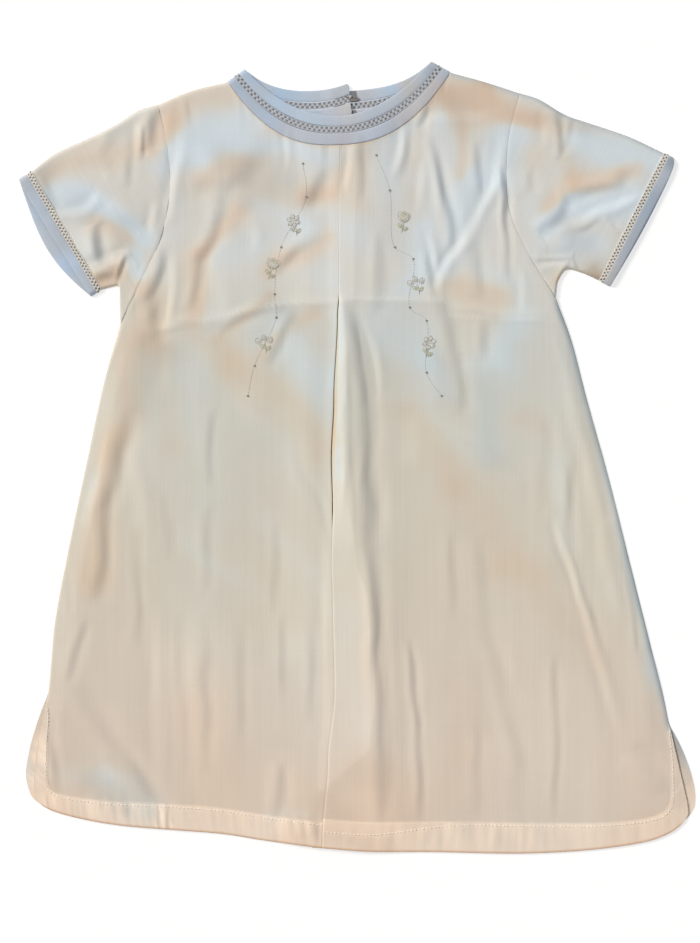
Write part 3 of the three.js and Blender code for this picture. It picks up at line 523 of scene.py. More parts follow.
def band(distance, half, ramp):
    """1 inside a band of that half width about 0, falling to 0 over `ramp` outside it."""
    return 1 - smoothstep(np.abs(distance), half, half + ramp)


def back_middle(y):
    """The line down the middle of the backs' overlap, which leans a little."""
    return lerp(-4, -8.6, np.clip((y + 235) / 440, 0, 1))


def back_height(x, y, laps_over):
    """Middle height of a back, which rises at the middle where it laps over the other."""
    top = -BACK_OVERLAP / 2 - 1
    climb = smoothstep(x - back_middle(y), top - LAP_CLIMB, top)
    ripple = 0.1 * (1 + noise(x, y, 21, 33, 31))
    return FLOOR_CLEAR + (LAYER * climb if laps_over else 0) + ripple


def resting_height(x):
    """Middle height of the top layer where it lies flat, over the pleat's underlay or beside it."""
    return FLOOR_CLEAR + LAYER * (1 + band(x - PLEAT_MIDDLE, PLEAT_WIDTH / 2, PLEAT_SPREAD))


def pleat_at(y, column):
    """A column of the pleat's table at any y, eased from row to row."""
    heights = np.array([row.y for row in PLEAT], float)
    values = np.array([getattr(row, column) for row in PLEAT], float)
    place = np.interp(-np.asarray(y, float), -heights, np.arange(len(PLEAT)))
    row = np.minimum(place.astype(int), len(PLEAT) - 2)
    return lerp(values[row], values[row + 1], smoothstep(place - row, 0, 1))


def pleat_lift(x, y):
    """How far the top layer is lifted by the pleat folded under it."""
    line = pleat_at(y, "line")
    depth = np.where(x < line, pleat_at(y, "left_depth"), pleat_at(y, "right_depth"))
    depth = depth + pleat_at(y, "gap") / 2
    return 2 * PLY * (1 - smoothstep(np.abs(x - line), depth, depth + PLEAT_SPREAD))


def fold_rise(x, y):
    """How far the top layer stands off what is under it, never down through it."""
    rise = np.full(np.broadcast(x, y).shape, float(EASE))
    uneven = 1 + 0.4 * noise(x, y, 13, 17, 46)
    x, y = x + DRIFT * noise(x, y, 9, 13, 44), y + DRIFT * noise(x, y, 9, 13, 45)
    for fold in FOLDS:
        share, aside, _ = beside(x, y, fold)
        inside = np.clip(share, 0, 1)
        aside = (aside - fold.bow * 4 * inside * (1 - inside)) / fold.width
        faces = math.copysign(1, (fold.y - fold.to_y) - 0.55 * (fold.to_x - fold.x))
        height = fold.rise - faces * fold.drop * 2.7 * aside
        rise += uneven * height * np.sqrt(np.sin(np.pi * inside)) * np.exp(-(aside**2))
    above = smoothstep(y, 60, 110)
    for crumple in CRUMPLES:
        worn = 1 + crumple.more_above * above
        rise += worn * crumple.rise * noise(x, y, crumple.cell_x, crumple.cell_y, crumple.seed)
    low = LEAST_RISE * np.exp(np.minimum(rise, LEAST_RISE) / LEAST_RISE - 1)
    return np.where(rise > LEAST_RISE, rise, low)


def top_height(x, y, settled=1):
    """Middle height of the top layer: the front, the upper side of the sleeves and the front neck."""
    return resting_height(x) + pleat_lift(x, y) + settled * fold_rise(x, y)


def rolled(distance, radius=ROLL):
    """The profile of a soft roll at an edge, from 0 at the edge to 1 a roll's radius away."""
    share = np.clip(np.asarray(distance, float) / radius, 0, 1)
    return np.sqrt(1 - (1 - share) ** 2)


# -------- the colour of the cloth


def spread(x, y, patches):
    """The amounts of soft-edged patches at a point, added up. Their edges wander."""
    drift_x = x + 5 * noise(x, y, 16, 16, 41)
    drift_y = y + 5 * noise(x, y, 16, 16, 42)
    total = 0
    for each in patches:
        share, aside, length = beside(drift_x, drift_y, each)
        past = (share - np.clip(share, 0, 1)) * length
        total = total + each.amount * np.exp(-(aside**2 + past**2) / each.width**2)
    return total


def warmth(x, y):
    """How warm, or below 0 how cool, the cloth is painted at a point: warmer down the shirt, with its
    painted light.
    """
    down_the_shirt = lerp(-0.3, 0.5, smoothstep(y, 130, -180))
    return down_the_shirt + 0.16 * noise(x, y, 30, 40, 43) + spread(x, y, LIGHT_PATCHES)


def shade(x, y):
    """How much paler or darker the cloth is: painted light and shade, and the pleat's underlay showing
    through.
    """
    # painted shade below the crease, where the cloth tilts from the light, and a painted highlight just
    # above it
    below = np.interp(x, *np.array(FOLD_LINE).T) - y
    crossed = band(x + 5, 112, 16)
    value = 1 - 0.05 * smoothstep(below, -1.2, 1.2) * crossed * (1 - 1.3 * smoothstep(below, 40, 230))
    value = value + 0.055 * crossed * hump(below + 1.2, 0.9)
    # painted shade, and painted light where a patch's amount is negative
    value = value - spread(x, y, SHADE_PATCHES)
    # the pleat's underlay shows through the lawn, down to where it ends
    line = pleat_at(y, "line")
    left, right = line - pleat_at(y, "left_depth"), line + pleat_at(y, "right_depth")
    under = smoothstep(x, left - 2.5, left + 2.5) * smoothstep(x, right + 0.9, right - 0.9)
    foot = lerp(-172.5, -199, np.clip((10 - x) / 31, 0, 1))
    value = value * (1 + 0.09 * under * smoothstep(y, foot - 1.5, foot + 1.5))
    # the flap beside the pleat's opening catches the light and shades the cloth beside it
    flap = np.interp(-y, *np.array(FLAP_EDGE).T)
    lifted = smoothstep(x, line - 0.4, line + 0.4) * smoothstep(x, flap + 0.8, flap - 0.8)
    value = value * (1 + 0.12 * lifted * smoothstep(y, -60, -30) * smoothstep(y, 104, 92))
    beside_flap = 0.065 * band(x - flap - 7, 6.5, 5) + 0.045 * hump(x - flap - 1.6, 1.2)
    value = value * (1 - beside_flap * smoothstep(y, -84, -20) * smoothstep(y, 92, 76))
    streaks = 0.016 * noise(x, y, 8, 150, 51) + 0.008 * noise(x, y, 2.6, 60, 52)
    return value * (1 + streaks + 0.012 * noise(x, y, 60, 60, 53))


def cloth_tint(x, y, colours, **marks):
    """The cloth's colour at points, as linear red, green and blue.

    Marks run from 0 to 1: `hem` is paler, with painted light and shade over its puckers, `foot` is painted
    shade along its folded edge, `rim` is painted shade where the cloth turns from the light, `seam` is
    warmer along a seam.
    """
    hem, foot, rim, seam = (marks.get(name, 0.0) for name in ("hem", "foot", "rim", "seam"))
    warm = warmth(x, y) + 0.25 * hem + 0.7 * seam - 0.9 * rim
    amount = np.tanh(np.abs(warm))[..., None]
    toward = np.where((warm > 0)[..., None], np.array(colours.warm), np.array(colours.cool))
    # the rim takes painted shade, and the patches of painted warm light are painted a little darker too
    tone = shade(x, y) * (1 + 0.2 * hem) * (1 - 0.42 * rim) * (1 - 0.05 * np.clip(warm, 0, 1.4))
    tint = lerp(np.array(colours.ivory), toward, amount) * tone[..., None]
    tint = tint * lerp(np.ones(3), np.array(colours.sage), band(y + 10, 50, 110)[..., None])
    # painted shade along the folded foot of the hem
    return tint * lerp(np.ones(3), np.array(colours.edge_shade), np.asarray(foot)[..., None])


# -------- meshes


class Cloth:
    """Grids of points gathered into one mesh, with a tint and a place in the cut at each point."""

    def __init__(self):
        self.points, self.faces, self.tints, self.places = [], [], [], []
        self.count = 0

    def grid(self, points, tint, places=None, closed=False, flipped=False):
        """Rows of points joined by quads; `closed` joins each row's end to its start."""
        rows, across = points.shape[:2]
        numbers = np.arange(rows * across).reshape(rows, across) + self.count
        if closed:
            numbers = np.hstack([numbers, numbers[:, :1]])
        corners = [numbers[:-1, :-1], numbers[1:, :-1], numbers[1:, 1:], numbers[:-1, 1:]]
        faces = np.stack(corners[::-1] if flipped else corners, axis=-1).reshape(-1, 4)
        self.points.append(points.reshape(-1, 3))
        self.faces.append(faces)
        self.tints.append(np.broadcast_to(tint, points.shape).reshape(-1, 3))
        self.places.append((points[..., :2] if places is None else places).reshape(-1, 2))
        self.count += rows * across

    def fan(self, ring, tint, flipped=False):
        """Closes a ring of points with one face."""
        numbers = np.arange(len(ring)) + self.count
        self.points.append(ring)
        self.faces.append([numbers[::-1] if flipped else numbers])
        self.tints.append(np.broadcast_to(tint, ring.shape))
        self.places.append(ring[:, :2])
        self.count += len(ring)

    def mesh(self, name):
        """The mesh, in metres in the frame, with its doubled points merged."""
        points = np.vstack(self.points) + np.array([*PLACE, 0])
        mesh = bpy.data.meshes.new(name)
        faces = [face for group in self.faces for face in np.asarray(group).tolist()]
        mesh.from_pydata((points * MM).tolist(), [], faces)
        tint = mesh.attributes.new("tint", "FLOAT_COLOR", "POINT")
        solid = np.ones((len(points), 1))
        tint.data.foreach_set("color", np.hstack([np.vstack(self.tints), solid]).ravel())
        corner = np.empty(len(mesh.loops), int)
        mesh.loops.foreach_get("vertex_index", corner)
        layer = mesh.uv_layers.new(name="cut")
        layer.data.foreach_set("uv", (np.vstack(self.places)[corner] * MM).ravel())
        whole = bmesh.new()
        whole.from_mesh(mesh)
        bmesh.ops.remove_doubles(whole, verts=whole.verts, dist=1e-6)
        whole.to_mesh(mesh)
        whole.free()
        mesh.polygons.foreach_set("use_smooth", np.ones(len(mesh.polygons), bool))
        mesh.update()
        return mesh


def place_piece(mesh, material):
    """A new object of that mesh and finish, at the origin of the frame."""
    piece = bpy.data.objects.new(mesh.name, mesh)
    bpy.context.scene.collection.objects.link(piece)
    mesh.materials.clear()
    mesh.materials.append(material)
    return piece


def ribbon(cloth, inner, outer, tint, thick, closed=False):
    """A strip with rounded edges between two lines of points, closed all round."""
    across = outer - inner
    width = np.linalg.norm(across, axis=1, keepdims=True)
    middle = (inner + outer) / 2
    if closed:
        along = np.roll(middle, -1, axis=0) - np.roll(middle, 1, axis=0)
    else:
        along = np.gradient(middle, axis=0)
    up = np.cross(along, across)
    up /= np.linalg.norm(up, axis=1, keepdims=True)
    angles = np.linspace(0, 2 * np.pi, 17)[:-1]
    reach = np.sign(np.cos(angles)) * np.abs(np.cos(angles)) ** 0.6
    height = np.sign(np.sin(angles)) * np.abs(np.sin(angles)) ** 0.8
    rings = (
        middle[:, None]
        + across[:, None] * reach[None, :, None] / 2
        + up[:, None] * height[None, :, None] * thick / 2
    )
    run = lengths_along(middle)[:, None] * np.ones(len(angles))
    places = np.stack([run, reach * width / 2], axis=-1)
    if closed:
        rings = np.vstack([rings, rings[:1]])
        places = np.vstack([places, places[:1]])
        tint = np.vstack([tint, tint[:1]]) if np.ndim(tint) > 1 else tint
    shown = tint[:, None] if np.ndim(tint) > 1 else tint
    cloth.grid(rings, shown, places, closed=True)
    if not closed:
        cloth.fan(rings[0], np.broadcast_to(shown, rings.shape)[0])
        cloth.fan(rings[-1], np.broadcast_to(shown, rings.shape)[-1], flipped=True)


# -------- the edges of the panels


def neck_point(name, t):
    """A point on one of the neck's edges, from -1 at its left end to 1 at its right end."""
    edge, t = NECK[name], np.asarray(t, float)
    y = edge.y + edge.lean * t - edge.drop * (1 - np.abs(t) ** edge.power)
    return np.stack([edge.x + edge.half * t, y], axis=-1)


def neck_seam(face, t, side=None):
    """The front's or the back's own edge, a seam's space away from the strip's; a side pulls it up."""
    at = neck_point(f"{face}_seam", t)
    away = at - neck_point(f"{face}_edge", t)
    at = at + SEAM * away / np.linalg.norm(away, axis=-1, keepdims=True)
    if side:
        lift = neck_lift(side, t)
        at = at + np.stack([0 * lift, lift], axis=-1)
    return at


def neck_lift(side, t):
    """How far the back's neck is pulled up or down beside its opening."""
    end = lap_places(side)[1]
    return side.neck_lift * fade(NECK["back_edge"].half * np.abs(end - t), 9)


def panel_rows(upper, lower):
    """Down a panel: to the armhole's foot, then to the hem, then closer together through the hem."""
    hem_line = 1 - 20 / PANEL_LENGTH
    hem = 1 - np.append(np.linspace(19.4, 0.8, 34), [0.4, 0.15, 0]) / PANEL_LENGTH
    roll = np.array([0, 0.12, 0.4, 0.85, 1.5, 2.4]) / PANEL_LENGTH
    first = np.linspace(roll[-1], ARMHOLE_SHARE, upper)[1:]
    return np.concatenate([roll, first, np.linspace(ARMHOLE_SHARE, hem_line, lower)[1:], hem])


def panel_columns(count):
    """Across half a panel: close together through the turned edge of its vent, then even."""
    roll = [0, 0.12, 0.4, 0.85, 1.5, 2.4, 3.6, 5, 6.4, 7.6]
    edge = np.array(roll + [8.6, 9.2, 9.7, 10.1, 10.5, 10.9, 11.4]) / PANEL_HALF
    return np.concatenate([edge, np.linspace(edge[-1], 1, count)[1:]])


def half_edges(side, face, middle, neck_end):
    """The four edges of half of the front or of a back, its outer edge first in each row."""
    vent, hem = getattr(side, f"{face}_vent"), getattr(side, f"{face}_hem")
    pulled_by = side if face == "back" else None
    shoulder = smooth_line([*side.shoulder, neck_seam(face, side.sign)])
    return (
        joined(shoulder, SHOULDER_SHARE, lambda t: neck_seam(face, lerp(side.sign, neck_end, t), pulled_by)),
        smooth_line([*hem, middle(1.0)], even=True),
        joined(smooth_line(side.armhole), ARMHOLE_SHARE, smooth_line([*side.side, *vent], even=True)),
        middle,
    )


def hem_at(side, v, u):
    """The hem round half of a panel: how far in from its edge points are, how deep it is, its puckers."""
    from_foot = (1 - v) * PANEL_LENGTH
    # above the vent, where the side is sewn, no point counts as near the edge
    wide = PANEL_HALF + 400 * (1 - smoothstep(v, side.vent_share - 0.03, side.vent_share + 0.02))
    from_side = u * wide + 30 * (1 - smoothstep(v, side.vent_share - 0.015, side.vent_share + 0.01))
    # the hem narrows up the vent
    from_side = from_side / lerp(side.vent_hem, 1, smoothstep(from_foot, side.vent_rise, 5))
    rounding = 8
    blend = np.clip(1 - np.abs(from_foot - from_side) / rounding, 0, 1)
    distance = np.minimum(from_foot, from_side) - blend**2 * rounding / 4
    depth = HEM + side.hem_gain * smoothstep(u, 0.02, 0.6)
    along = np.where(from_foot < from_side, u * PANEL_HALF, 300 + from_foot)
    near = hump(distance - 0.6 * depth, 0.6 * depth)
    gathered = 0.85 + 0.5 * noise(along, 0, 30, 30, 62 + side.sign)
    puckers = noise(along + 0.1 * distance, distance, 1.9, 14, 61 + side.sign)
    return distance, depth, side.pucker * near * gathered * (1 - blend) * puckers


def hem_relief(side, distance, depth, puckers, u):
    """The turned hem's thickness, the ditch of its stitching and its small puckers."""
    ply = HEM_RAISE * smoothstep(distance, depth + 0.5, depth - 0.4)
    ditch = -0.08 * hump(distance - stitch_line(side, depth, u), 0.7)
    return ply + ditch + HEM_PUCKER * puckers


def stitch_line(side, depth, u):
    """How far in from the edge the hem is stitched down."""
    return depth - 1.5 - side.stitch_gain * smoothstep(u, 0.6, 0.9)


# -------- the front


def pleat_section(y):
    """The folded cloth of the pleat at each y, from the left fold to the right one: x and layer."""
    line, gap, left, right = (pleat_at(y, name) for name in ("line", "gap", "left_depth", "right_depth"))
    bend = PLY / 2
    left_fold, right_fold = line - gap / 2, line + gap / 2
    quarter = np.pi / 2

    def turn(x, layer, start, end):
        angles = np.linspace(start, end, 7)
        return [(x + bend * math.cos(angle), layer + math.sin(angle) / 2) for angle in angles]

    def level(start, end, layer):
        return [(lerp(start, end, share), layer) for share in (0.3, 0.7)]

    # where the pleat stands open, its right fold leans over and shows the inside of the cloth
    foot = lerp(right_fold + bend, left_fold + 0.15, np.clip(gap, 0, 1))
    shares = np.linspace(0, 1, 7)
    leaning = [(lerp(foot, right_fold, share), 1 + math.sin(share * quarter)) for share in shares]

    return [
        *turn(left_fold - bend, 1.5, quarter, -quarter),
        *level(left_fold - bend, left_fold - left + bend, 1),
        *turn(left_fold - left + bend, 0.5, quarter, 3 * quarter),
        *level(left_fold - left + bend, right_fold + right - bend, 0),
        *turn(right_fold + right - bend, 0.5, -quarter, quarter),
        *level(right_fold + right - bend, foot, 1),
        *leaning,
    ]


FRONT_TOP = float(neck_seam("front", 0)[1])


def front_half(side, rows, columns):
    """One half of the front, from its side to the pleat's fold."""

    def middle(v):
        y = lerp(FRONT_TOP, FRONT_FOOT, np.asarray(v, float))
        section = pleat_section(y)
        return np.stack([section[0 if side.sign < 0 else -1][0], y], axis=-1)

    neck_end = (middle(0)[0] - NECK["front_seam"].x) / NECK["front_seam"].half
    plan = patch(*half_edges(side, "front", middle, neck_end), rows, columns)
    x, y = plan[..., 0], plan[..., 1]
    u, v = columns[None, :], rows[:, None]
    lies = (1 - smoothstep(u, 0, 0.08)) * smoothstep(v, ARMHOLE_SHARE, ARMHOLE_SHARE + 0.08)
    settled = (1 - 0.9 * lies) * (1 - 0.6 * smoothstep(v, 0.92, 1))
    z = top_height(x, y, settled)

    # the soft roll into the back, down the side seam and along the shoulder
    from_side = u * np.linalg.norm(plan[:, -1] - plan[:, 0], axis=1)[:, None]
    seamed = smoothstep(v, ARMHOLE_SHARE - 0.015, ARMHOLE_SHARE + 0.02)
    seamed = seamed * (1 - smoothstep(v, side.vent_share - 0.005, side.vent_share + 0.012))
    at_side = 1 - seamed * (1 - rolled(from_side, side.roll))
    on_shoulder = smoothstep(u, SHOULDER_SHARE + 0.01, SHOULDER_SHARE - 0.02)
    at_shoulder = 1 - on_shoulder * (1 - rolled(v * PANEL_LENGTH))
    low = FLOOR_CLEAR + CLOTH + 0.1
    z = low + (z - low) * np.minimum(at_side, at_shoulder)

    # seams: a ditch beside the armhole and the neckband, with the cloth drawn in small puckers
    armhole = 1 - smoothstep(v, ARMHOLE_SHARE - 0.02, ARMHOLE_SHARE + 0.01)
    run = v * PANEL_LENGTH + 0 * u
    z -= armhole * 0.5 * fade(from_side, 3)
    z += armhole * 0.3 * fade(from_side, 6) * noise(run, from_side, 5, 16, 63)
    on_neck = smoothstep(u, SHOULDER_SHARE, SHOULDER_SHARE + 0.03)
    z += on_neck * 0.3 * fade(run, 2.5)
    z += on_neck * 0.42 * fade(run, 9) * noise(u * 120 + 0 * v, run, 3.6, 24, 64 + side.sign)
    z += seamed * 0.15 * fade(from_side, 9) * noise(run, from_side, 7, 12, 67)

    distance, depth, puckers = hem_at(side, v, u)
    z += hem_relief(side, distance, depth, puckers, u)
    from_foot = (1 - v) * PANEL_LENGTH
    on_vent = smoothstep(from_foot - u * PANEL_HALF, -3, 6)
    sewn = hump(distance - stitch_line(side, depth, u), 0.8)
    # the hem is paler for its turned layers, with painted light and shade that follow its puckers
    hem = smoothstep(distance, depth + 0.5, depth - 0.4) * (1 + 1.1 * puckers) + 0.24 * sewn
    # painted shade down the rolled side and along the shoulder, where the cloth turns from the light
    rim = seamed * hump(from_side, 3) + 0.7 * on_shoulder * hump(run, 2)
    marks = {
        "hem": hem * (1 - side.vent_fade * on_vent),
        "foot": hump(from_foot, 0.8) * smoothstep(u, 0.01, 0.05),
        "rim": side.rim * rim,
        "seam": on_neck * hump(run, 1.6),
    }
    return np.dstack([x, y, z]), {name: mark + 0 * x for name, mark in marks.items()}


def turned_edge(cloth, edge, tint):
    """The hem's turning: from an edge of the panel round and back underneath it."""
    depth, drop = HEM - 0.6, 0.5
    along = np.gradient(edge[:, :2], axis=0)
    inward = np.stack([-along[:, 1], along[:, 0]], axis=-1)
    inward /= np.linalg.norm(inward, axis=1, keepdims=True)
    sections = [(0, 0), (-0.2, -0.3), (-0.15, -0.7), (0.2, -1), (depth * 0.5, -1), (depth, -1)]
    rows = [
        np.column_stack([edge[:, :2] + inward * away, edge[:, 2] + drop * down])
        for away, down in sections
    ]
    cloth.grid(np.stack(rows), tint[None] * 0.97, flipped=True)


def front_mesh(colours):
    """The front in one piece: its two halves, the pleat between them and the hem's turning."""
    rows, columns = panel_rows(62, 122), panel_columns(146)
    (left, left_marks), (right, right_marks) = (front_half(side, rows, columns) for side in SIDES)
    y = lerp(FRONT_TOP, FRONT_FOOT, rows)
    folded = []
    for x, layer in pleat_section(y)[1:-1]:
        z = resting_height(x) + layer * PLY + (0.3 + 0.35 * layer) * fold_rise(x, y)
        folded.append(np.column_stack([x, y, z]))
    folded = np.stack(folded, axis=1)
    points = np.hstack([left, folded, right[:, ::-1]])
    half, inner = left.shape[1], folded.shape[1]
    # the folds carry the height of the cloth beside them, over their first rows
    carried = 7
    for first, step, panel in ((half, 1, left), (half + inner - 1, -1, right)):
        beside_fold = points[:, first - step, 0]
        above = panel[:, -1, 2] - (resting_height(beside_fold) + 2 * PLY + fold_rise(beside_fold, y))
        for k in range(carried):
            points[:, first + step * k, 2] += above * (1 - k / carried)
    plain = np.zeros(folded.shape[:2])
    marks = {
        name: np.hstack([mark, plain, right_marks[name][:, ::-1]])
        for name, mark in left_marks.items()
    }
    tint = cloth_tint(points[..., 0], points[..., 1], colours, **marks)
    # the pleat's folded cloth is painted tan: painted warm shade, where light comes through the lawn into it
    tint[:, half : half + inner] *= np.array(colours.inside)
    cloth = Cloth()
    cloth.grid(points, tint)
    start, end = (np.searchsorted(rows, each.vent_share) for each in SIDES)
    edge, edge_tint = (
        np.vstack([whole[start:, 0], whole[-1, 1:half], whole[-1, -half:-1], whole[end:, -1][::-1]])
        for whole in (points, tint)
    )
    turned_edge(cloth, edge, edge_tint)
    return cloth.mesh("front_cloth")


# -------- the backs


def lap_edges(side):
    """The lines down a back where its lap starts and ends, as distances from the overlap's middle."""
    end = -side.sign * BACK_OVERLAP / 2
    return end + side.sign * (BACK_OVERLAP + LAP_CLIMB + 1), end


def lap_places(side):
    """Where those lines meet the neck, as shares of its half width."""
    seam = NECK["back_seam"]
    middle = back_middle(seam.y - seam.drop)
    return [(middle + away - seam.x) / seam.half for away in lap_edges(side)]


def back_mesh(side, colours):
    """A back: its half of the panel out to the lap, and the lap itself."""
    rows, columns = panel_rows(44, 96), panel_columns(70)
    lap, end = lap_places(side)

    def down_line(away, start):
        top_x, top_y = neck_seam("back", start, side)

        def at(v):
            v = np.asarray(v, float)
            y = lerp(top_y, side.foot, v)
            return np.stack([np.where(v > 0, back_middle(y) + away, top_x), y], axis=-1)

        return at

    lap_line, end_line = (down_line(away, start) for away, start in zip(lap_edges(side), (lap, end)))
    wide = patch(*half_edges(side, "back", lap_line, lap), rows, columns)
    narrow = patch(
        lambda t: neck_seam("back", lerp(lap, end, t), side),
        straight(lap_line(1), end_line(1)),
        lap_line,
        end_line,
        rows,
        np.linspace(0, 1, 14),
    )
    plan = np.hstack([wide, narrow[:, 1:]])
    x, y = plan[..., 0], plan[..., 1]
    z = back_height(x, y, side.sign < 0)
    points = np.dstack([x, y, z])
    distance, depth, puckers = hem_at(side, rows[:, None], columns[None])
    hem, rim = np.zeros(x.shape), np.zeros(x.shape)
    # the back's paler hem follows its puckers as painted light and shade
    hem[:, : len(columns)] = smoothstep(distance, depth + 0.4, depth - 0.4) * (1 + puckers)
    at_edge = hump(columns * PANEL_HALF, 9)
    # painted shade along the back's edge up the vent, beside the front
    rim[:, : len(columns)] = side.back_edge_shade * at_edge * smoothstep(rows, 0.985, 0.9)[:, None]
    tint = cloth_tint(x, y, colours, hem=hem * (1 - rim), rim=rim)
    cloth = Cloth()
    cloth.grid(points, tint, flipped=side.sign > 0)
    return cloth.mesh(f"back_cloth_{side.name}")


# -------- the sleeves and the cuffs


def cuff_line(side):
    """The edge where a sleeve's cloth meets its cuff, and the direction out of the cuff."""
    high, low = np.array(side.sleeve_top[-1], float), np.array(side.sleeve_under[-1], float)
    along = (low - high) / np.linalg.norm(low - high)
    return high, low, np.array([along[1], -along[0]]) * -side.sign


def sleeve_mesh(side, colours):
    """A sleeve, as a flattened tube from the armhole to the cuff."""
    high, low, _ = cuff_line(side)
    rows, columns = np.linspace(0, 1, 62), np.linspace(0, 1, 96)
    edges = (
        smooth_line(side.armhole),
        straight(high, low),
        smooth_line(side.sleeve_top),
        smooth_line(side.sleeve_under),
    )
    plan = patch(*edges, rows, columns)
    plan[..., 0] += side.sign * 0.05 * (1 - rows[:, None])
    x, y = plan[..., 0], plan[..., 1]
    steps = np.linalg.norm(np.diff(plan, axis=1), axis=2)
    run = np.hstack([np.zeros((len(rows), 1)), np.cumsum(steps, axis=1)])
    from_edge = np.minimum(run, run[:, -1:] - run)
    z = top_height(x, y)
    from_armhole = rows[:, None] * SLEEVE_LENGTH
    from_cuff = (1 - rows[:, None]) * SLEEVE_LENGTH
    z -= side.sleeve_ditch * hump(from_armhole, 1.3) + 0.15 * hump(from_cuff, 1.4)
    z += 0.22 * fade(from_armhole, 7) * noise(run, from_armhole, 5, 16, 71)
    z += 0.2 * fade(from_cuff, 9) * noise(run, from_cuff, 5, 20, 72)
    low_z = FLOOR_CLEAR + CLOTH
    z = low_z + (z - low_z) * rolled(from_edge)
    upper = np.dstack([x, y, z])
    under = np.dstack([x, y, np.full(x.shape, FLOOR_CLEAR)])[:, -2:0:-1]
    ring = np.hstack([upper, under])
    cloth = Cloth()
    # painted shade along the sleeve's top, where it rolls away from the light
    along_top = 0.7 * side.rim * hump(run, 2)
    turned_away = np.hstack([along_top, np.zeros(run.shape)[:, -2:0:-1]])
    tint = cloth_tint(ring[..., 0], ring[..., 1], colours, rim=turned_away)
    # a painted highlight along the armhole seam
    tint[:, : len(columns)] *= 1 + side.rim * 0.07 * hump(from_armhole, 0.9)[..., None]
    grain = np.hstack([plan, plan[:, -2:0:-1]])
    across = grain @ np.array([[0.9, 0.45 * side.sign], [-0.45 * side.sign, 0.9]])
    cloth.grid(ring, tint, across, closed=True, flipped=side.sign > 0)
    return cloth.mesh(f"sleeve_cloth_{side.name}")


def cuff_ring(side, distance):
    """A closed line round the cuff, at a distance out of the sleeve: the upper side, then the under one."""
    high, low, out = cuff_line(side)
    ends = 0.5 - 0.5 * np.cos(np.linspace(0, np.pi, 90))
    t = lerp(np.linspace(0, 1, 90), ends, 0.6)
    past = max(distance - LADDER, 0) * (1 - CUFF_TAPER * t * t - side.corner * fade(t, 0.05))
    spill = side.cuff_spill * np.clip((distance - LADDER) / CUFF, 0, 1) * np.sin(np.pi * t**1.2)
    line = lerp(high, low, t[:, None])
    reach = min(distance, LADDER) + past
    upper = line + out * reach[:, None]
    under = line + out * (reach + spill)[:, None]
    run = np.linalg.norm(line - line[0], axis=1)
    from_edge = np.minimum(run, run[-1] - run)
    low_z = FLOOR_CLEAR + CUFF_RISE
    height = top_height(upper[:, 0], upper[:, 1]) + CUFF_RISE / 2 - low_z
    upper = np.column_stack([upper, low_z + height * rolled(from_edge)])
    under = np.column_stack([under, np.full(len(t), low_z)])
    return np.vstack([upper, under[-2:0:-1]])


def band_tint(points, tint):
    """A band's colour at a line of points: uneven, with painted light and shade from the band's table."""
    x, y = points[:, 0], points[:, 1]
    sky = 0.25 * noise(x, y, 11, 11, 81)
    tone = 1 + 0.03 * noise(x, y, 6, 6, 82)
    for spot in BAND_LIGHT:
        near = np.exp(-((x - spot.x) ** 2 + (y - spot.y) ** 2) / spot.reach**2)
        sky, tone = sky + spot.sky * near, tone + spot.tone * near
    bluer, greyer = np.array([0.85, 1.02, 1.16]), np.array([1.08, 0.97, 0.86])
    shift = np.where((sky > 0)[:, None], bluer, greyer)
    return np.array(tint) * tone[:, None] * lerp(np.ones(3), shift, np.tanh(np.abs(sky))[:, None])


def cuff_strip(name, side, start, end, tint, thick, material):
    """A strip round the cuff, from one distance out of the sleeve to another."""
    inner, outer = (cuff_ring(side, distance) for distance in (start, end))
    if side.sign > 0:
        inner, outer = outer, inner
    cloth = Cloth()
    ribbon(cloth, inner, outer, band_tint((inner + outer) / 2, tint), thick, closed=True)
    return place_piece(cloth.mesh(name), material)


# -------- the strips round the neck


def neck_line(share):
    """A line round the neck at a share of the strips' width, from one back's end to the other's."""
    count = 150
    front_t = np.sin(np.linspace(-np.pi / 2, np.pi / 2, 2 * count + 1))
    front_t = lerp(front_t, np.linspace(-1, 1, 2 * count + 1), 0.55)
    plan = lerp(neck_point("front_edge", front_t), neck_point("front_seam", front_t), share)
    x, y = plan[:, 0], plan[:, 1]
    tips = np.minimum(np.linalg.norm(plan - plan[0], axis=1), np.linalg.norm(plan - plan[-1], axis=1))
    low_z = FLOOR_CLEAR + NECK_RISE
    front = np.column_stack([plan, low_z + (top_height(x, y) + NECK_RISE / 2 - low_z) * rolled(tips)])
    backs = []
    for side in SIDES:
        _, end = lap_places(side)
        t = lerp(side.sign, end, np.linspace(0, 1, count)[1:] ** 1.15)
        plan = lerp(neck_point("back_edge", t), neck_point("back_seam", t), share)
        plan[:, 1] += neck_lift(side, t)
        from_end = np.linalg.norm(plan - plan[-1], axis=1)
        plan[:, 1] -= 1.7 * (1 - share) ** 4 * np.clip(1 - from_end / 2.2, 0, 1) ** 2
        z = back_height(plan[:, 0], plan[:, 1], side.sign < 0) + NECK_RISE
        backs.append(np.column_stack([plan, z]))
    return np.vstack([backs[0][::-1], front, backs[1]])


def neck_strip(name, shares, tint, thick, material):
    """A strip round the neck between two shares of the strips' width, a little apart from the next one."""
    apart = 0.012
    start, end = shares
    inner, outer = neck_line(start + apart * (start > 0)), neck_line(end - apart * (end < 1))
    middle = (inner + outer) / 2
    shown = band_tint(middle, tint)
    # the right back's end lies in the shadow of the left's, which laps over it
    gap = middle[:, 0] - back_middle(middle[:, 1]) - BACK_OVERLAP / 2
    under = (np.arange(len(middle)) > len(middle) * 0.75) * band(gap - 1.4, 1.2, 1.2)
    shown = shown * (1 - 0.62 * under[:, None])
    cloth = Cloth()
    ribbon(cloth, outer, inner, shown, thick)
    return place_piece(cloth.mesh(name), material)


# -------- nodes


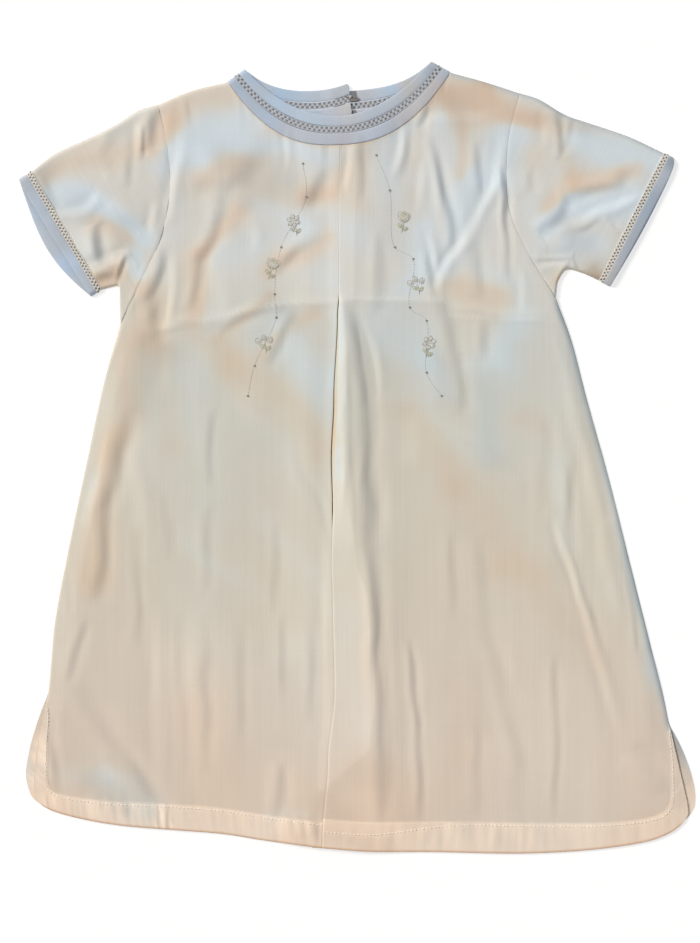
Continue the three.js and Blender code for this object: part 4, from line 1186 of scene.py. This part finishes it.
class Wire:
    """A socket of a node tree. Arithmetic on it adds the tree's maths nodes."""

    def __init__(self, nodes, socket):
        self.nodes, self.socket = nodes, socket

    def _is_vector(self):
        return self.socket.type in {"VECTOR", "RGBA"}

    def _maths(self, operation, first, second):
        if not self._is_vector():
            return self.nodes.add("ShaderNodeMath", {0: first, 1: second}, operation=operation)
        plain = isinstance(second, (int, float)) or (isinstance(second, Wire) and not second._is_vector())
        if operation == "MULTIPLY" and plain:
            return self.nodes.add("ShaderNodeVectorMath", {0: first, "Scale": second}, operation="SCALE")
        return self.nodes.add("ShaderNodeVectorMath", {0: first, 1: second}, operation=operation)

    def __add__(self, other):
        return self._maths("ADD", self, other)

    def __sub__(self, other):
        return self._maths("SUBTRACT", self, other)

    def __rsub__(self, other):
        return self._maths("SUBTRACT", other, self)

    def __mul__(self, other):
        return self._maths("MULTIPLY", self, other)

    __radd__, __rmul__ = __add__, __mul__


class Nodes:
    """A node tree that is built a node at a time."""

    def __init__(self, tree):
        self.tree = tree

    def add(self, kind, inputs=None, output=0, **settings):
        """A node of that kind, its settings set first, then its sockets' values or links."""
        node = self.tree.nodes.new(kind)
        for name, value in settings.items():
            setattr(node, name, value)
        for key, value in (inputs or {}).items():
            for each in value if isinstance(value, list) else [value]:
                if isinstance(each, Wire):
                    self.tree.links.new(each.socket, node.inputs[key])
                else:
                    node.inputs[key].default_value = each
        return Wire(self, node.outputs[output]) if len(node.outputs) else node

    def noise(self, coordinates, stretch, scale, detail=2.0):
        """Noise from 0 to 1 over coordinates that are stretched first."""
        stretched = self.add("ShaderNodeVectorMath", {0: coordinates, 1: stretch}, operation="MULTIPLY")
        return self.add("ShaderNodeTexNoise", {"Vector": stretched, "Scale": scale, "Detail": detail})


def new_material(name, roughness, sheen=0.0):
    """A material, its nodes and its Principled shader."""
    material = bpy.data.materials.new(name)
    material.use_nodes = True
    tree = material.node_tree
    shader = tree.nodes["Principled BSDF"]
    shader.inputs["Roughness"].default_value = roughness
    shader.inputs["Sheen Weight"].default_value = sheen
    shader.inputs["Sheen Roughness"].default_value = 0.6
    shader.inputs["Specular IOR Level"].default_value = 0.25
    return material, Nodes(tree), shader


def finish_shader(nodes, shader, colour, height, strength):
    """Gives a shader its colour and its relief."""
    bump = nodes.add("ShaderNodeBump", {"Height": height, "Strength": strength, "Distance": 0.0002})
    nodes.tree.links.new(colour.socket, shader.inputs["Base Color"])
    nodes.tree.links.new(bump.socket, shader.inputs["Normal"])


def woven_material(name, slub, weave):
    """Plain-woven cotton: the piece's own tint, uneven threads both ways, and their fine relief."""
    material, nodes, shader = new_material(name, 0.86, 0.12)
    tint = nodes.add("ShaderNodeAttribute", attribute_name="tint")
    cut = nodes.add("ShaderNodeUVMap", uv_map="cut")
    warp = nodes.noise(cut, (760, 22, 1), 1.0) - 0.5
    weft = nodes.noise(cut, (26, 860, 1), 1.0) - 0.5
    thick = nodes.noise(cut, (420, 9, 1), 1.0, 1.0) - 0.5
    cloudy = nodes.noise(cut, (60, 60, 1), 1.0, 3.0) - 0.5
    tone = 1 + slub * (warp + 0.6 * weft + 1.1 * thick) + 0.035 * cloudy
    grain = nodes.noise(cut, (2600, 2600, 1), 1.0, 1.0)
    relief = warp + 0.8 * weft + 0.5 * grain
    finish_shader(nodes, shader, tint * tone, relief, weave)
    return material


def thread_material(name, colour):
    """Twisted cotton thread, a little uneven in tone."""
    material, nodes, shader = new_material(name, 0.6, 0.2)
    place = nodes.add("ShaderNodeTexCoord", output="Object")
    uneven = nodes.noise(place, (1, 1, 1), 900.0, 2.0) - 0.5
    plain = nodes.add("ShaderNodeCombineXYZ", dict(zip("XYZ", colour)))
    strands = nodes.noise(place, (1, 1, 1), 2600.0, 1.0)
    finish_shader(nodes, shader, plain * (1 + 0.22 * uneven), strands, 0.4)
    return material


# -------- geometry nodes


def new_tree(name, numbers):
    """The nodes of a new geometry tree, and wires from its inputs: a mesh, numbers and a material."""
    tree = bpy.data.node_groups.new(name, "GeometryNodeTree")
    tree.interface.new_socket("Geometry", in_out="INPUT", socket_type="NodeSocketGeometry")
    for number in numbers:
        tree.interface.new_socket(number, in_out="INPUT", socket_type="NodeSocketFloat")
    tree.interface.new_socket("Thread", in_out="INPUT", socket_type="NodeSocketMaterial")
    tree.interface.new_socket("Geometry", in_out="OUTPUT", socket_type="NodeSocketGeometry")
    nodes = Nodes(tree)
    given = tree.nodes.new("NodeGroupInput")
    return nodes, {socket.name: Wire(nodes, socket) for socket in given.outputs if socket.name}


def close_tree(nodes, geometry, wires):
    """Realises the tree's instances, gives them their material and hands the finished tree back."""
    real = nodes.add("GeometryNodeRealizeInstances", {"Geometry": geometry})
    smooth = nodes.add("GeometryNodeSetShadeSmooth", {"Geometry": real})
    dressed = nodes.add("GeometryNodeSetMaterial", {"Geometry": smooth, "Material": wires["Thread"]})
    nodes.add("NodeGroupOutput", {0: dressed})
    return nodes.tree


def vector_attribute(nodes, name):
    return nodes.add("GeometryNodeInputNamedAttribute", {"Name": name}, data_type="FLOAT_VECTOR")


def lengths_on(nodes, points, way, length, breadth, height):
    """A rounded length of thread on each point, lying that way; its sizes are half of the whole."""
    turn = nodes.add("FunctionNodeAlignRotationToVector", {"Vector": way}, axis="X")
    size = nodes.add("ShaderNodeCombineXYZ", {"X": length, "Y": breadth, "Z": height})
    ball = nodes.add("GeometryNodeMeshIcoSphere", {"Radius": 1.0, "Subdivisions": 2})
    inputs = {"Points": points, "Instance": ball, "Rotation": turn, "Scale": size}
    return nodes.add("GeometryNodeInstanceOnPoints", inputs)


def ladder_tree():
    """Three rails along a line, and bars across between them; the two rows of bars are staggered."""
    nodes, wires = new_tree("hemstitched_ladder", ["Half width", "Pitch", "Radius", "Bar"])
    line = nodes.add("GeometryNodeMeshToCurve", {"Mesh": wires["Geometry"]})
    across = vector_attribute(nodes, "across")
    circle = {"Resolution": 6, "Radius": wires["Radius"]}
    profile = nodes.add("GeometryNodeCurvePrimitiveCircle", circle, mode="RADIUS")
    parts = []
    for way in (1, 0, -1):
        offset = across * (wires["Half width"] * way)
        strand = nodes.add("GeometryNodeSetPosition", {"Geometry": line, "Offset": offset})
        inputs = {"Curve": strand, "Profile Curve": profile, "Fill Caps": True}
        parts.append(nodes.add("GeometryNodeCurveToMesh", inputs))
    spaced = {"Curve": line, "Length": wires["Pitch"] * 0.5}
    stepped = nodes.add("GeometryNodeResampleCurve", spaced, mode="LENGTH")
    index = nodes.add("GeometryNodeInputIndex")
    odd = nodes.add("ShaderNodeMath", {0: index, 1: 2.0}, operation="MODULO")
    aside = across * ((2 * odd - 1) * wires["Half width"] * 0.5)
    moved = nodes.add("GeometryNodeSetPosition", {"Geometry": stepped, "Offset": aside})
    half_bar = wires["Half width"] * 0.5
    parts.append(lengths_on(nodes, moved, across, half_bar, wires["Bar"], wires["Radius"]))
    return close_tree(nodes, nodes.add("GeometryNodeJoinGeometry", {"Geometry": parts}), wires)


def stitch_tree():
    """Stitches end to end along a line, each a small rounded length of thread."""
    nodes, wires = new_tree("running_stitches", ["Length", "Pitch", "Radius"])
    line = nodes.add("GeometryNodeMeshToCurve", {"Mesh": wires["Geometry"]})
    spaced = {"Curve": line, "Length": wires["Pitch"]}
    points = nodes.add("GeometryNodeCurveToPoints", spaced, mode="LENGTH")
    tangent = Wire(nodes, points.socket.node.outputs["Tangent"])
    half, girth = wires["Length"] * 0.5, wires["Radius"]
    return close_tree(nodes, lengths_on(nodes, points, tangent, half, girth, girth), wires)


def laid_tree():
    """A laid stitch at each point, along the point's own `lie` and half as long as that is."""
    nodes, wires = new_tree("laid_stitches", ["Uneven", "Radius"])
    lie = vector_attribute(nodes, "lie")
    length = nodes.add("ShaderNodeVectorMath", {0: lie}, "Value", operation="LENGTH")
    limits = {2: 1 - wires["Uneven"], 3: 1 + wires["Uneven"], "Seed": 7}
    girth = wires["Radius"] * nodes.add("FunctionNodeRandomValue", limits, 1, data_type="FLOAT")
    return close_tree(nodes, lengths_on(nodes, wires["Geometry"], lie, length, girth, girth), wires)


def grown(name, tree, points, values, material, vectors=None, lined=True):
    """The plain mesh that a tree makes on a line of points, or on loose ones."""
    places = (np.asarray(points) + np.array([*PLACE, 0])) * MM
    source = bpy.data.meshes.new(name)
    lines = [(k, k + 1) for k in range(len(places) - 1)] if lined else []
    source.from_pydata(places.tolist(), lines, [])
    for label, rows in (vectors or {}).items():
        source.attributes.new(label, "FLOAT_VECTOR", "POINT").data.foreach_set("vector", np.ravel(rows))
    carrier = bpy.data.objects.new(name, source)
    bpy.context.scene.collection.objects.link(carrier)
    modifier = carrier.modifiers.new(name, "NODES")
    modifier.node_group = tree
    given = {**values, "Thread": material}
    for socket in tree.interface.items_tree:
        if socket.in_out == "INPUT" and socket.name in given:
            modifier[socket.identifier] = given[socket.name]
    evaluated = carrier.evaluated_get(bpy.context.evaluated_depsgraph_get())
    mesh = bpy.data.meshes.new_from_object(evaluated)
    bpy.data.objects.remove(carrier)
    bpy.data.meshes.remove(source)
    if not len(mesh.polygons):
        raise RuntimeError(f"{name}: the tree made nothing")
    mesh.name = name
    return mesh


# -------- the embroidery

# Each motif: where it is, how it is turned in degrees, its size and its kind.
Motif = namedtuple("Motif", "x y turn size kind")
MOTIFS = [
    Motif(-38, 139, 12, 6.6, "daisy"),
    Motif(-52, 113, -18, 7, "tulip"),
    Motif(-56, 69, 8, 6.6, "spray"),
    Motif(27, 141, -10, 6.8, "tulip"),
    Motif(35, 104, 16, 6.6, "spray"),
    Motif(42, 66, -14, 6.8, "daisy"),
]
# Knots, strung down each side on a curling stem.
KNOTS_LEFT = [(-33, 176), (-31, 156), (-46, 126), (-50, 98), (-49, 84), (-62, 55), (-66, 37)]
KNOTS_RIGHT = [(11, 181), (19, 160), (22, 126), (33, 119), (31, 90), (41, 82), (41, 51), (50, 37)]


def chain(points):
    """Back stitches end to end through points, as middles and lies."""
    points = np.array(points)
    return (points[:-1] + points[1:]) / 2, (points[1:] - points[:-1]) / 2


def petal(root, direction, length, width, threads, around):
    """A petal's satin stitches, laid side by side across it, and the back stitches round it."""
    along = np.array([math.cos(direction), math.sin(direction)])
    aside = np.array([-along[1], along[0]])
    middles, lies, ring = [], [], []
    for share in np.linspace(-0.82, 0.82, threads):
        middles.append(root + along * length * 0.55 + aside * share * width / 2)
        lies.append(along * length * math.sqrt(1 - share * share) / 2)
    for angle in np.linspace(0.25, 2 * np.pi - 0.25, around + 1) + np.pi:
        reach = length * 0.55 + math.cos(angle) * length * 0.6
        ring.append(root + along * reach + aside * math.sin(angle) * width * 0.68)
    return (middles, lies), chain(ring)


def add_sprig(motif, sets):
    """Adds the stitches of one sprig to the sets of each thread's middles and lies in the plan."""
    angle = math.radians(motif.turn)
    turn = np.array([[math.cos(angle), math.sin(angle)], [-math.sin(angle), math.cos(angle)]])

    def lay(colour, stitches):
        middles, lies = (np.array(rows) @ turn for rows in stitches)
        sets[colour][0].extend(middles + np.array([motif.x, motif.y]))
        sets[colour][1].extend(lies)

    def leaf(colour, x, y, direction, length, width, threads, around):
        root = np.array([x, y]) * motif.size
        satin, rim = petal(root, direction, length * motif.size, width * motif.size, threads, around)
        lay(colour, satin)
        lay("pale", rim)

    up = math.pi / 2
    lay("grey", chain(np.array([[0, -1], [0.1, -0.45], [0, 0]]) * motif.size))
    for side, height in ((1, -0.72), (-1, -0.5)):
        leaf("green", 0.04, height, up - side, 0.5, 0.24, 4, 7)
    if motif.kind == "daisy":
        for k in range(6):
            way = up + k * math.pi / 3
            leaf("white", 0.16 * math.cos(way), 0.42 + 0.16 * math.sin(way), way, 0.42, 0.3, 5, 6)
        leaf("green", 0, 0.36, up, 0.16, 0.2, 4, 0)
    elif motif.kind == "tulip":
        for lean, colour in ((0.5, "white"), (-0.5, "white"), (0, "green")):
            leaf(colour, 0, 0, up + lean, 0.85, 0.42, 6, 9)
    else:
        for x, y, lean in ((0, 0.1, 0), (0.36, -0.12, -0.6), (-0.36, -0.06, 0.6)):
            leaf("white", x, y, up + lean, 0.55, 0.36, 5, 8)


def knot_stitches(radius):
    """The short stitches wound round each knot, as middles and lies."""
    middles, lies = [], []
    for knot in KNOTS_LEFT + KNOTS_RIGHT:
        for angle in np.linspace(0, 2 * np.pi, 7)[:-1]:
            out = np.array([math.cos(angle), math.sin(angle)])
            middles.append(np.array(knot) + 0.45 * radius * out)
            lies.append(0.55 * radius * np.array([-out[1], out[0]]))
    return middles, lies


def on_front(plan, lift):
    """Points of the plan, laid on the front."""
    plan = np.asarray(plan, float)
    return np.column_stack([plan, top_height(plan[:, 0], plan[:, 1]) + lift])


# -------- settings


def length_value(name, description, millimetres):
    return bpy.props.FloatProperty(
        name=name, description=description, default=millimetres * MM, min=0, unit="LENGTH", precision=5
    )


def colour_value(name, description, default):
    return bpy.props.FloatVectorProperty(
        name=name, description=description, default=default, subtype="COLOR", size=3, min=0, max=1
    )


def amount_value(name, description, default, **limits):
    return bpy.props.FloatProperty(name=name, description=description, default=default, min=0, **limits)


class ShirtClothSettings(bpy.types.PropertyGroup):
    """The lawn of the body and the sleeves."""

    ivory: colour_value("Ivory", "Colour of the lawn", (0.80, 0.76, 0.69))
    # Warm and Cool are the colours of the painted warm light and cool skylight on the lawn.
    warm: colour_value("Warm", "Colour of the lawn where it has yellowed", (0.85, 0.675, 0.535))
    cool: colour_value("Cool", "Colour of the lawn where it has stayed white", (0.76, 0.87, 0.96))
    sage: colour_value("Sage", "Multiplies the lawn's colour over the skirt", (0.978, 1, 0.978))
    # Inside paints the warm shade into the pleat's folded cloth.
    inside: colour_value("Inside", "Multiplies the lawn's colour inside the pleat", (0.94, 0.82, 0.67))
    # This colour paints the shade along the hem's folded edge.
    edge_shade: colour_value("EdgeShade", "Multiplies the lawn's colour along its foot", (0.78, 0.6, 0.48))
    slub: amount_value("Slub", "How much the thicker threads show in the tone", 0.05, max=1)
    weave: amount_value("Weave", "Strength of the weave's relief", 0.3, max=1)


class ShirtTrimSettings(bpy.types.PropertyGroup):
    """The bands, the hemstitching and the threads."""

    blue: colour_value("Blue", "Colour of the bands", (0.578, 0.64, 0.735))
    yoke: colour_value("Yoke", "Colour of the neck's outer band", (0.578, 0.61, 0.685))
    # This colour is the painted shadow seen through the hemstitching's holes.
    hole_shadow: colour_value("Recess", "Colour behind the hemstitching", (0.26, 0.235, 0.22))
    white: colour_value("White thread", "Colour of the white thread", (0.76, 0.745, 0.70))
    cream: colour_value("Cream thread", "Colour of the sewing thread", (1, 0.96, 0.9))
    drawn: colour_value("Drawn thread", "Colour of the thread of the neck's ladder", (0.55, 0.595, 0.665))
    pulled: colour_value("Pulled thread", "Colour of the thread of the cuffs' ladders", (0.82, 0.8, 0.75))
    brown: colour_value("Brown thread", "Colour of the thread of the neck's loop", (0.30, 0.25, 0.21))
    grey: colour_value("Grey thread", "Colour of the grey thread", (0.33, 0.345, 0.35))
    pale: colour_value("Pale thread", "Colour of the pale grey thread", (0.52, 0.53, 0.49))
    green: colour_value("Green thread", "Colour of the pale green thread", (0.66, 0.655, 0.47))
    ladder_pitch: length_value("Ladder pitch", "Repeat of the hemstitched ladder", 2.9)
    ladder_thread: length_value("Ladder thread", "Radius of the ladder's threads", 0.32)
    ladder_bar: length_value("Ladder bar", "Half the width of one of the ladder's bars", 0.96)
    cuff_pitch: length_value("Cuff pitch", "Repeat of the cuffs' ladders", 2.2)
    cuff_bar: length_value("Cuff bar", "Half the width of a bar of the cuffs' ladders", 0.74)
    stitch: length_value("Stitch", "Length of a stitch of the hem", 1.7)
    stitch_pitch: length_value("Stitch pitch", "From one stitch of the hem to the next", 2.3)
    thread: length_value("Thread", "Radius of the sewing thread", 0.28)
    knot: length_value("Knot", "Radius of an embroidered knot", 0.78)


class ShirtStageSettings(bpy.types.PropertyGroup):
    """The floor, the camera and the lights."""

    floor: colour_value("Floor", "Colour of the floor", (0.5, 0.5, 0.5))
    view_height: length_value("Height", "How high the camera hangs over the shirt", 1571.7)
    lens: bpy.props.FloatProperty(
        name="Lens", description="Focal length of the camera", default=100, min=1, unit="CAMERA"
    )
    key: amount_value("Key", "Strength of the key light", 2.45)
    fill: amount_value("Fill", "Strength of the fill light", 0.36)
    sky: amount_value("Sky", "Strength of the light all round", 0.23)


def material_once(name, make, *values):
    """The material of that name, made the first time that it is asked for."""
    return bpy.data.materials.get(name) or make(name, *values)


def lawn(scene):
    cloth = scene.shirt_cloth
    return material_once("cotton_lawn", woven_material, cloth.slub, cloth.weave)


def banding():
    return material_once("blue_banding", woven_material, 0.05, 0.4)


def thread(scene, colour):
    return material_once(f"{colour}_thread", thread_material, tuple(getattr(scene.shirt_trim, colour)))


def finish_piece(piece, slot, *nodes):
    """The piece rides with the shirt and stands for those solids; `slot` is not used."""
    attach(piece, "root")
    if nodes:
        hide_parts(*nodes)


def sew(name, tree, points, values, material, slot="hemstitched_strip", **settings):
    """A piece of thread work, grown by a tree on points."""
    finish_piece(place_piece(grown(name, tree, points, values, material, **settings), material), slot)


def sew_laid(name, tree, points, lies, values, material):
    """Laid stitches, one at each point."""
    lie = np.column_stack([np.array(lies), np.zeros(len(lies))]) * MM
    sew(name, tree, points, values, material, vectors={"lie": lie}, lined=False)


def sew_ladder(name, inner, outer, sizes, material):
    """The hemstitching between two lines of points; the sizes are its pitch, its bar and its thread."""
    across = outer - inner
    widths = np.linalg.norm(across, axis=1, keepdims=True)
    pitch, bar, radius = sizes
    inset = 0.95  # the outer rails lie a little inside the lines
    half = widths.mean() / 2 * inset * MM
    values = {"Half width": half, "Pitch": pitch, "Radius": radius, "Bar": bar}
    sew(name, ladder_tree(), (inner + outer) / 2, values, material, vectors={"across": across / widths})


# -------- operators


class SHIRT_OT_backs(bpy.types.Operator):
    """Make the two backs, which lap at the centre"""

    bl_idname = "shirt.backs"
    bl_label = "Backs"

    def execute(self, context):
        for side in SIDES:
            mesh = back_mesh(side, context.scene.shirt_cloth)
            piece = place_piece(mesh, lawn(context.scene))
            wall = piece.modifiers.new("cloth", "SOLIDIFY")
            wall.thickness, wall.offset = CLOTH * MM, 0
            finish_piece(piece, "lawn", f"back_panel_{side.name}")
        return {"FINISHED"}


def hem_stitches(side, lift):
    """Where the front's hem is stitched down: points from the middle out and up its vent."""
    rows, columns = 1 - np.linspace(60, 0, 241) / PANEL_LENGTH, np.linspace(0, 1, 400)
    points, _ = front_half(side, rows, columns)
    distance, depth, _ = hem_at(side, rows[:, None], columns[None])
    away = np.abs(distance - stitch_line(side, depth, columns[None]))
    corner = int(np.searchsorted(columns * PANEL_HALF, HEM + 2))
    foot = [(int(np.argmin(away[:, k])), k) for k in range(len(columns) - 1, corner, -1)]
    top = int(np.searchsorted(rows, side.vent_share + 0.006))
    vent_rows = range(foot[-1][0] - 4, top, -1)
    vent = [(row, int(np.argmin(away[row, : 2 * corner]))) for row in vent_rows]
    route = np.array([points[place] for place in foot + vent])
    smooth = np.array([np.convolve(column, np.ones(5) / 5, "valid") for column in route.T]).T
    return smooth + np.array([0, 0, lift])


FRONT_TRIMMINGS = ("neck_", "sprigs_", "knots", "stem_", "hem_")


class SHIRT_OT_front(bpy.types.Operator):
    """Make the front, with the pleat folded into it"""

    bl_idname = "shirt.front"
    bl_label = "Front"

    def execute(self, context):
        piece = place_piece(front_mesh(context.scene.shirt_cloth), lawn(context.scene))
        finish_piece(piece, "lawn", "front_panel")
        trimmings = [each for each in bpy.data.objects if each.name.startswith(FRONT_TRIMMINGS)]
        return {"FINISHED"}


class SHIRT_OT_sleeves(bpy.types.Operator):
    """Make the two set-in sleeves"""

    bl_idname = "shirt.sleeves"
    bl_label = "Sleeves"

    def execute(self, context):
        for side in SIDES:
            piece = place_piece(sleeve_mesh(side, context.scene.shirt_cloth), lawn(context.scene))
            finish_piece(piece, "lawn", f"sleeve_{side.name}")
        return {"FINISHED"}


class SHIRT_OT_neck_bands(bpy.types.Operator):
    """Make the two blue bands round the neck"""

    bl_idname = "shirt.neck_bands"
    bl_label = "Neck bands"

    def execute(self, context):
        trim = context.scene.shirt_trim
        for name, shares, colour, node in (
            ("neck_edge_binding", EDGE_BAND, trim.blue, "neck_edge_band"),
            ("neck_yoke_binding", YOKE_BAND, trim.yoke, "neck_yoke_band"),
        ):
            piece = neck_strip(name, shares, tuple(colour), BAND_THICK, banding())
            finish_piece(piece, "blue_band", node)
        return {"FINISHED"}


class SHIRT_OT_cuff_bands(bpy.types.Operator):
    """Make the blue band of each cuff"""

    bl_idname = "shirt.cuff_bands"
    bl_label = "Cuff bands"

    def execute(self, context):
        blue = tuple(context.scene.shirt_trim.blue)
        for side in SIDES:
            name = f"cuff_binding_{side.name}"
            piece = cuff_strip(name, side, LADDER, LADDER + CUFF, blue, BAND_THICK, banding())
            finish_piece(piece, "blue_band", f"cuff_band_{side.name}")
        return {"FINISHED"}


class SHIRT_OT_ladders(bpy.types.Operator):
    """Make the hemstitched ladders that join the bands to the cloth"""

    bl_idname = "shirt.ladders"
    bl_label = "Ladders"

    def execute(self, context):
        trim = context.scene.shirt_trim
        drawn, pulled = thread(context.scene, "drawn"), thread(context.scene, "pulled")
        # a dark sheet behind each ladder paints the shadow seen through its holes
        dark = tuple(trim.hole_shadow)
        ground = neck_strip("neck_ladder_ground", NECK_LADDER, dark, HOLE_SHADOW_THICK, banding())
        finish_piece(ground, "hemstitched_strip", "neck_ladder")
        lines = [neck_line(share) for share in NECK_LADDER]
        sizes = (trim.ladder_pitch, trim.ladder_bar, trim.ladder_thread)
        sew_ladder("neck_ladder_stitches", *lines, sizes, drawn)
        sizes = (trim.cuff_pitch, trim.cuff_bar, trim.ladder_thread)
        for side in SIDES:
            name = f"cuff_ladder_{side.name}"
            ground = cuff_strip(f"{name}_ground", side, 0.1, LADDER, dark, HOLE_SHADOW_THICK, banding())
            finish_piece(ground, "hemstitched_strip", name)
            rings = [cuff_ring(side, distance) for distance in (0, LADDER)][:: -side.sign]
            sew_ladder(f"{name}_stitches", *(np.vstack([ring, ring[:1]]) for ring in rings), sizes, pulled)
        return {"FINISHED"}


class SHIRT_OT_embroidery(bpy.types.Operator):
    """Work the sprigs and the knots down both sides of the chest"""

    bl_idname = "shirt.embroidery"
    bl_label = "Embroidery"

    def execute(self, context):
        tree = laid_tree()
        threads = {colour: thread(context.scene, colour) for colour in ("white", "green", "pale", "grey")}
        sets = {colour: ([], []) for colour in threads}
        for motif in MOTIFS:
            add_sprig(motif, sets)
        for colour, (middles, lies) in sets.items():
            fine = colour in ("pale", "grey")
            points = on_front(middles, 0.14 if fine else 0.1)
            values = {"Uneven": 0.12, "Radius": (0.13 if fine else 0.24) * MM}
            sew_laid(f"sprigs_{colour}", tree, points, lies, values, threads[colour])
        knot = context.scene.shirt_trim.knot
        middles, lies = knot_stitches(knot / MM)
        values = {"Uneven": 0.15, "Radius": 0.42 * knot}
        sew_laid("knots", tree, on_front(middles, 0.3), lies, values, threads["grey"])
        running = {"Length": 1.3 * MM, "Pitch": 1.7 * MM, "Radius": 0.09 * MM}
        for name, route in (("left", KNOTS_LEFT), ("right", KNOTS_RIGHT)):
            stem = on_front(smooth_line(route)(np.linspace(0, 1, 120)), 0.1)
            sew(f"stem_{name}", stitch_tree(), stem, running, threads["grey"])
        return {"FINISHED"}


class SHIRT_OT_stitching(bpy.types.Operator):
    """Stitch the front's hem down, and work the loop that closes the neck"""

    bl_idname = "shirt.stitching"
    bl_label = "Stitching"

    def execute(self, context):
        trim = context.scene.shirt_trim
        cream, brown = thread(context.scene, "cream"), thread(context.scene, "brown")
        sewn = {"Length": trim.stitch, "Pitch": trim.stitch_pitch, "Radius": trim.thread}
        for side in SIDES:
            route = hem_stitches(side, 0.2)
            sew(f"hem_stitching_{side.name}", stitch_tree(), route, sewn, cream, slot="lawn")
        turns = np.linspace(0, 1, 40)
        loop = smooth_line([(-7.4, 216.4), (-4.4, 214.2), (-1.4, 214), (-0.2, 215.4), (-1.8, 216)])(turns)
        height = back_height(loop[:, 0], loop[:, 1], True) + 0.75
        worked = {"Length": 1.5 * MM, "Pitch": 0.6 * MM, "Radius": 0.5 * MM}
        sew("neck_loop", stitch_tree(), np.column_stack([loop, height]), worked, brown)
        return {"FINISHED"}


class SHIRT_OT_stage(bpy.types.Operator):
    """Lay the floor and set the camera and the lights"""

    bl_idname = "shirt.stage"
    bl_label = "Stage"

    def execute(self, context):
        scene, settings = context.scene, context.scene.shirt_stage
        material, _, shader = new_material("floor", 0.9)
        shader.inputs["Base Color"].default_value = (*settings.floor, 1)
        shader.inputs["Emission Color"].default_value = (1, 1, 1, 1)
        shader.inputs["Emission Strength"].default_value = 0.62
        mesh = bpy.data.meshes.new("floor")
        reach = 6  # metres from the middle of the floor to its edge
        corners = [(x * reach, y * reach, 0) for x, y in ((-1, -1), (1, -1), (1, 1), (-1, 1))]
        mesh.from_pydata(corners, [], [(0, 1, 2, 3)])
        place_piece(mesh, material)

        data = bpy.data.cameras.new("camera")
        data.lens, data.sensor_width = settings.lens, 36
        data.clip_end = 50
        camera = bpy.data.objects.new("camera", data)
        below_camera = (-0.0039, -0.0089)
        camera.location = (*below_camera, settings.view_height)
        scene.collection.objects.link(camera)
        scene.camera = camera

        for name, colour, strength, softness, toward in (
            ("key", (1, 0.94, 0.86), settings.key, 22, (-1.0, 0.55, 0.95)),
            ("fill", (0.86, 0.93, 1), settings.fill, 60, (0.9, 0.2, 1.3)),
        ):
            light = bpy.data.lights.new(name, "SUN")
            light.color, light.energy, light.angle = colour, strength, math.radians(softness)
            lamp = bpy.data.objects.new(name, light)
            way = -np.array(toward) / np.linalg.norm(toward)
            pitch, heading = math.acos(-way[2]), math.atan2(-way[0], way[1])
            lamp.rotation_euler = (pitch, 0, heading)
            scene.collection.objects.link(lamp)
        world = bpy.data.worlds.new("sky")
        world.use_nodes = True
        background = world.node_tree.nodes["Background"]
        background.inputs["Color"].default_value = (0.97, 0.98, 1, 1)
        background.inputs["Strength"].default_value = settings.sky
        scene.world = world
        scene.view_settings.view_transform = "Standard"
        return {"FINISHED"}


class SHIRT_PT_pieces(bpy.types.Panel):
    """The shirt's pieces and their settings"""

    bl_idname = "SHIRT_PT_pieces"
    bl_label = "Baby's Day Shirt"
    bl_space_type = "VIEW_3D"
    bl_region_type = "UI"
    bl_category = "Shirt"

    def draw(self, context):
        for operator in OPERATORS:
            self.layout.operator(operator.bl_idname)
        for name in SETTINGS:
            box = self.layout.box()
            group = getattr(context.scene, name)
            for each in group.__annotations__:
                box.prop(group, each)


OPERATORS = (
    SHIRT_OT_backs,
    SHIRT_OT_neck_bands,
    SHIRT_OT_cuff_bands,
    SHIRT_OT_ladders,
    SHIRT_OT_embroidery,
    SHIRT_OT_stitching,
    SHIRT_OT_front,
    SHIRT_OT_sleeves,
    SHIRT_OT_stage,
)
SETTINGS = {
    "shirt_cloth": ShirtClothSettings,
    "shirt_trim": ShirtTrimSettings,
    "shirt_stage": ShirtStageSettings,
}
CLASSES = (*SETTINGS.values(), *OPERATORS, SHIRT_PT_pieces)


def register():
    for each in CLASSES:
        bpy.utils.register_class(each)
    for name, group in SETTINGS.items():
        setattr(bpy.types.Scene, name, bpy.props.PointerProperty(type=group))


def unregister():
    for name in SETTINGS:
        delattr(bpy.types.Scene, name)
    for each in reversed(CLASSES):
        bpy.utils.unregister_class(each)


def main():
    register()
    for operator in OPERATORS:
        group, name = operator.bl_idname.split(".")
        getattr(getattr(bpy.ops, group), name)()


if __name__ == "__main__":
    main()
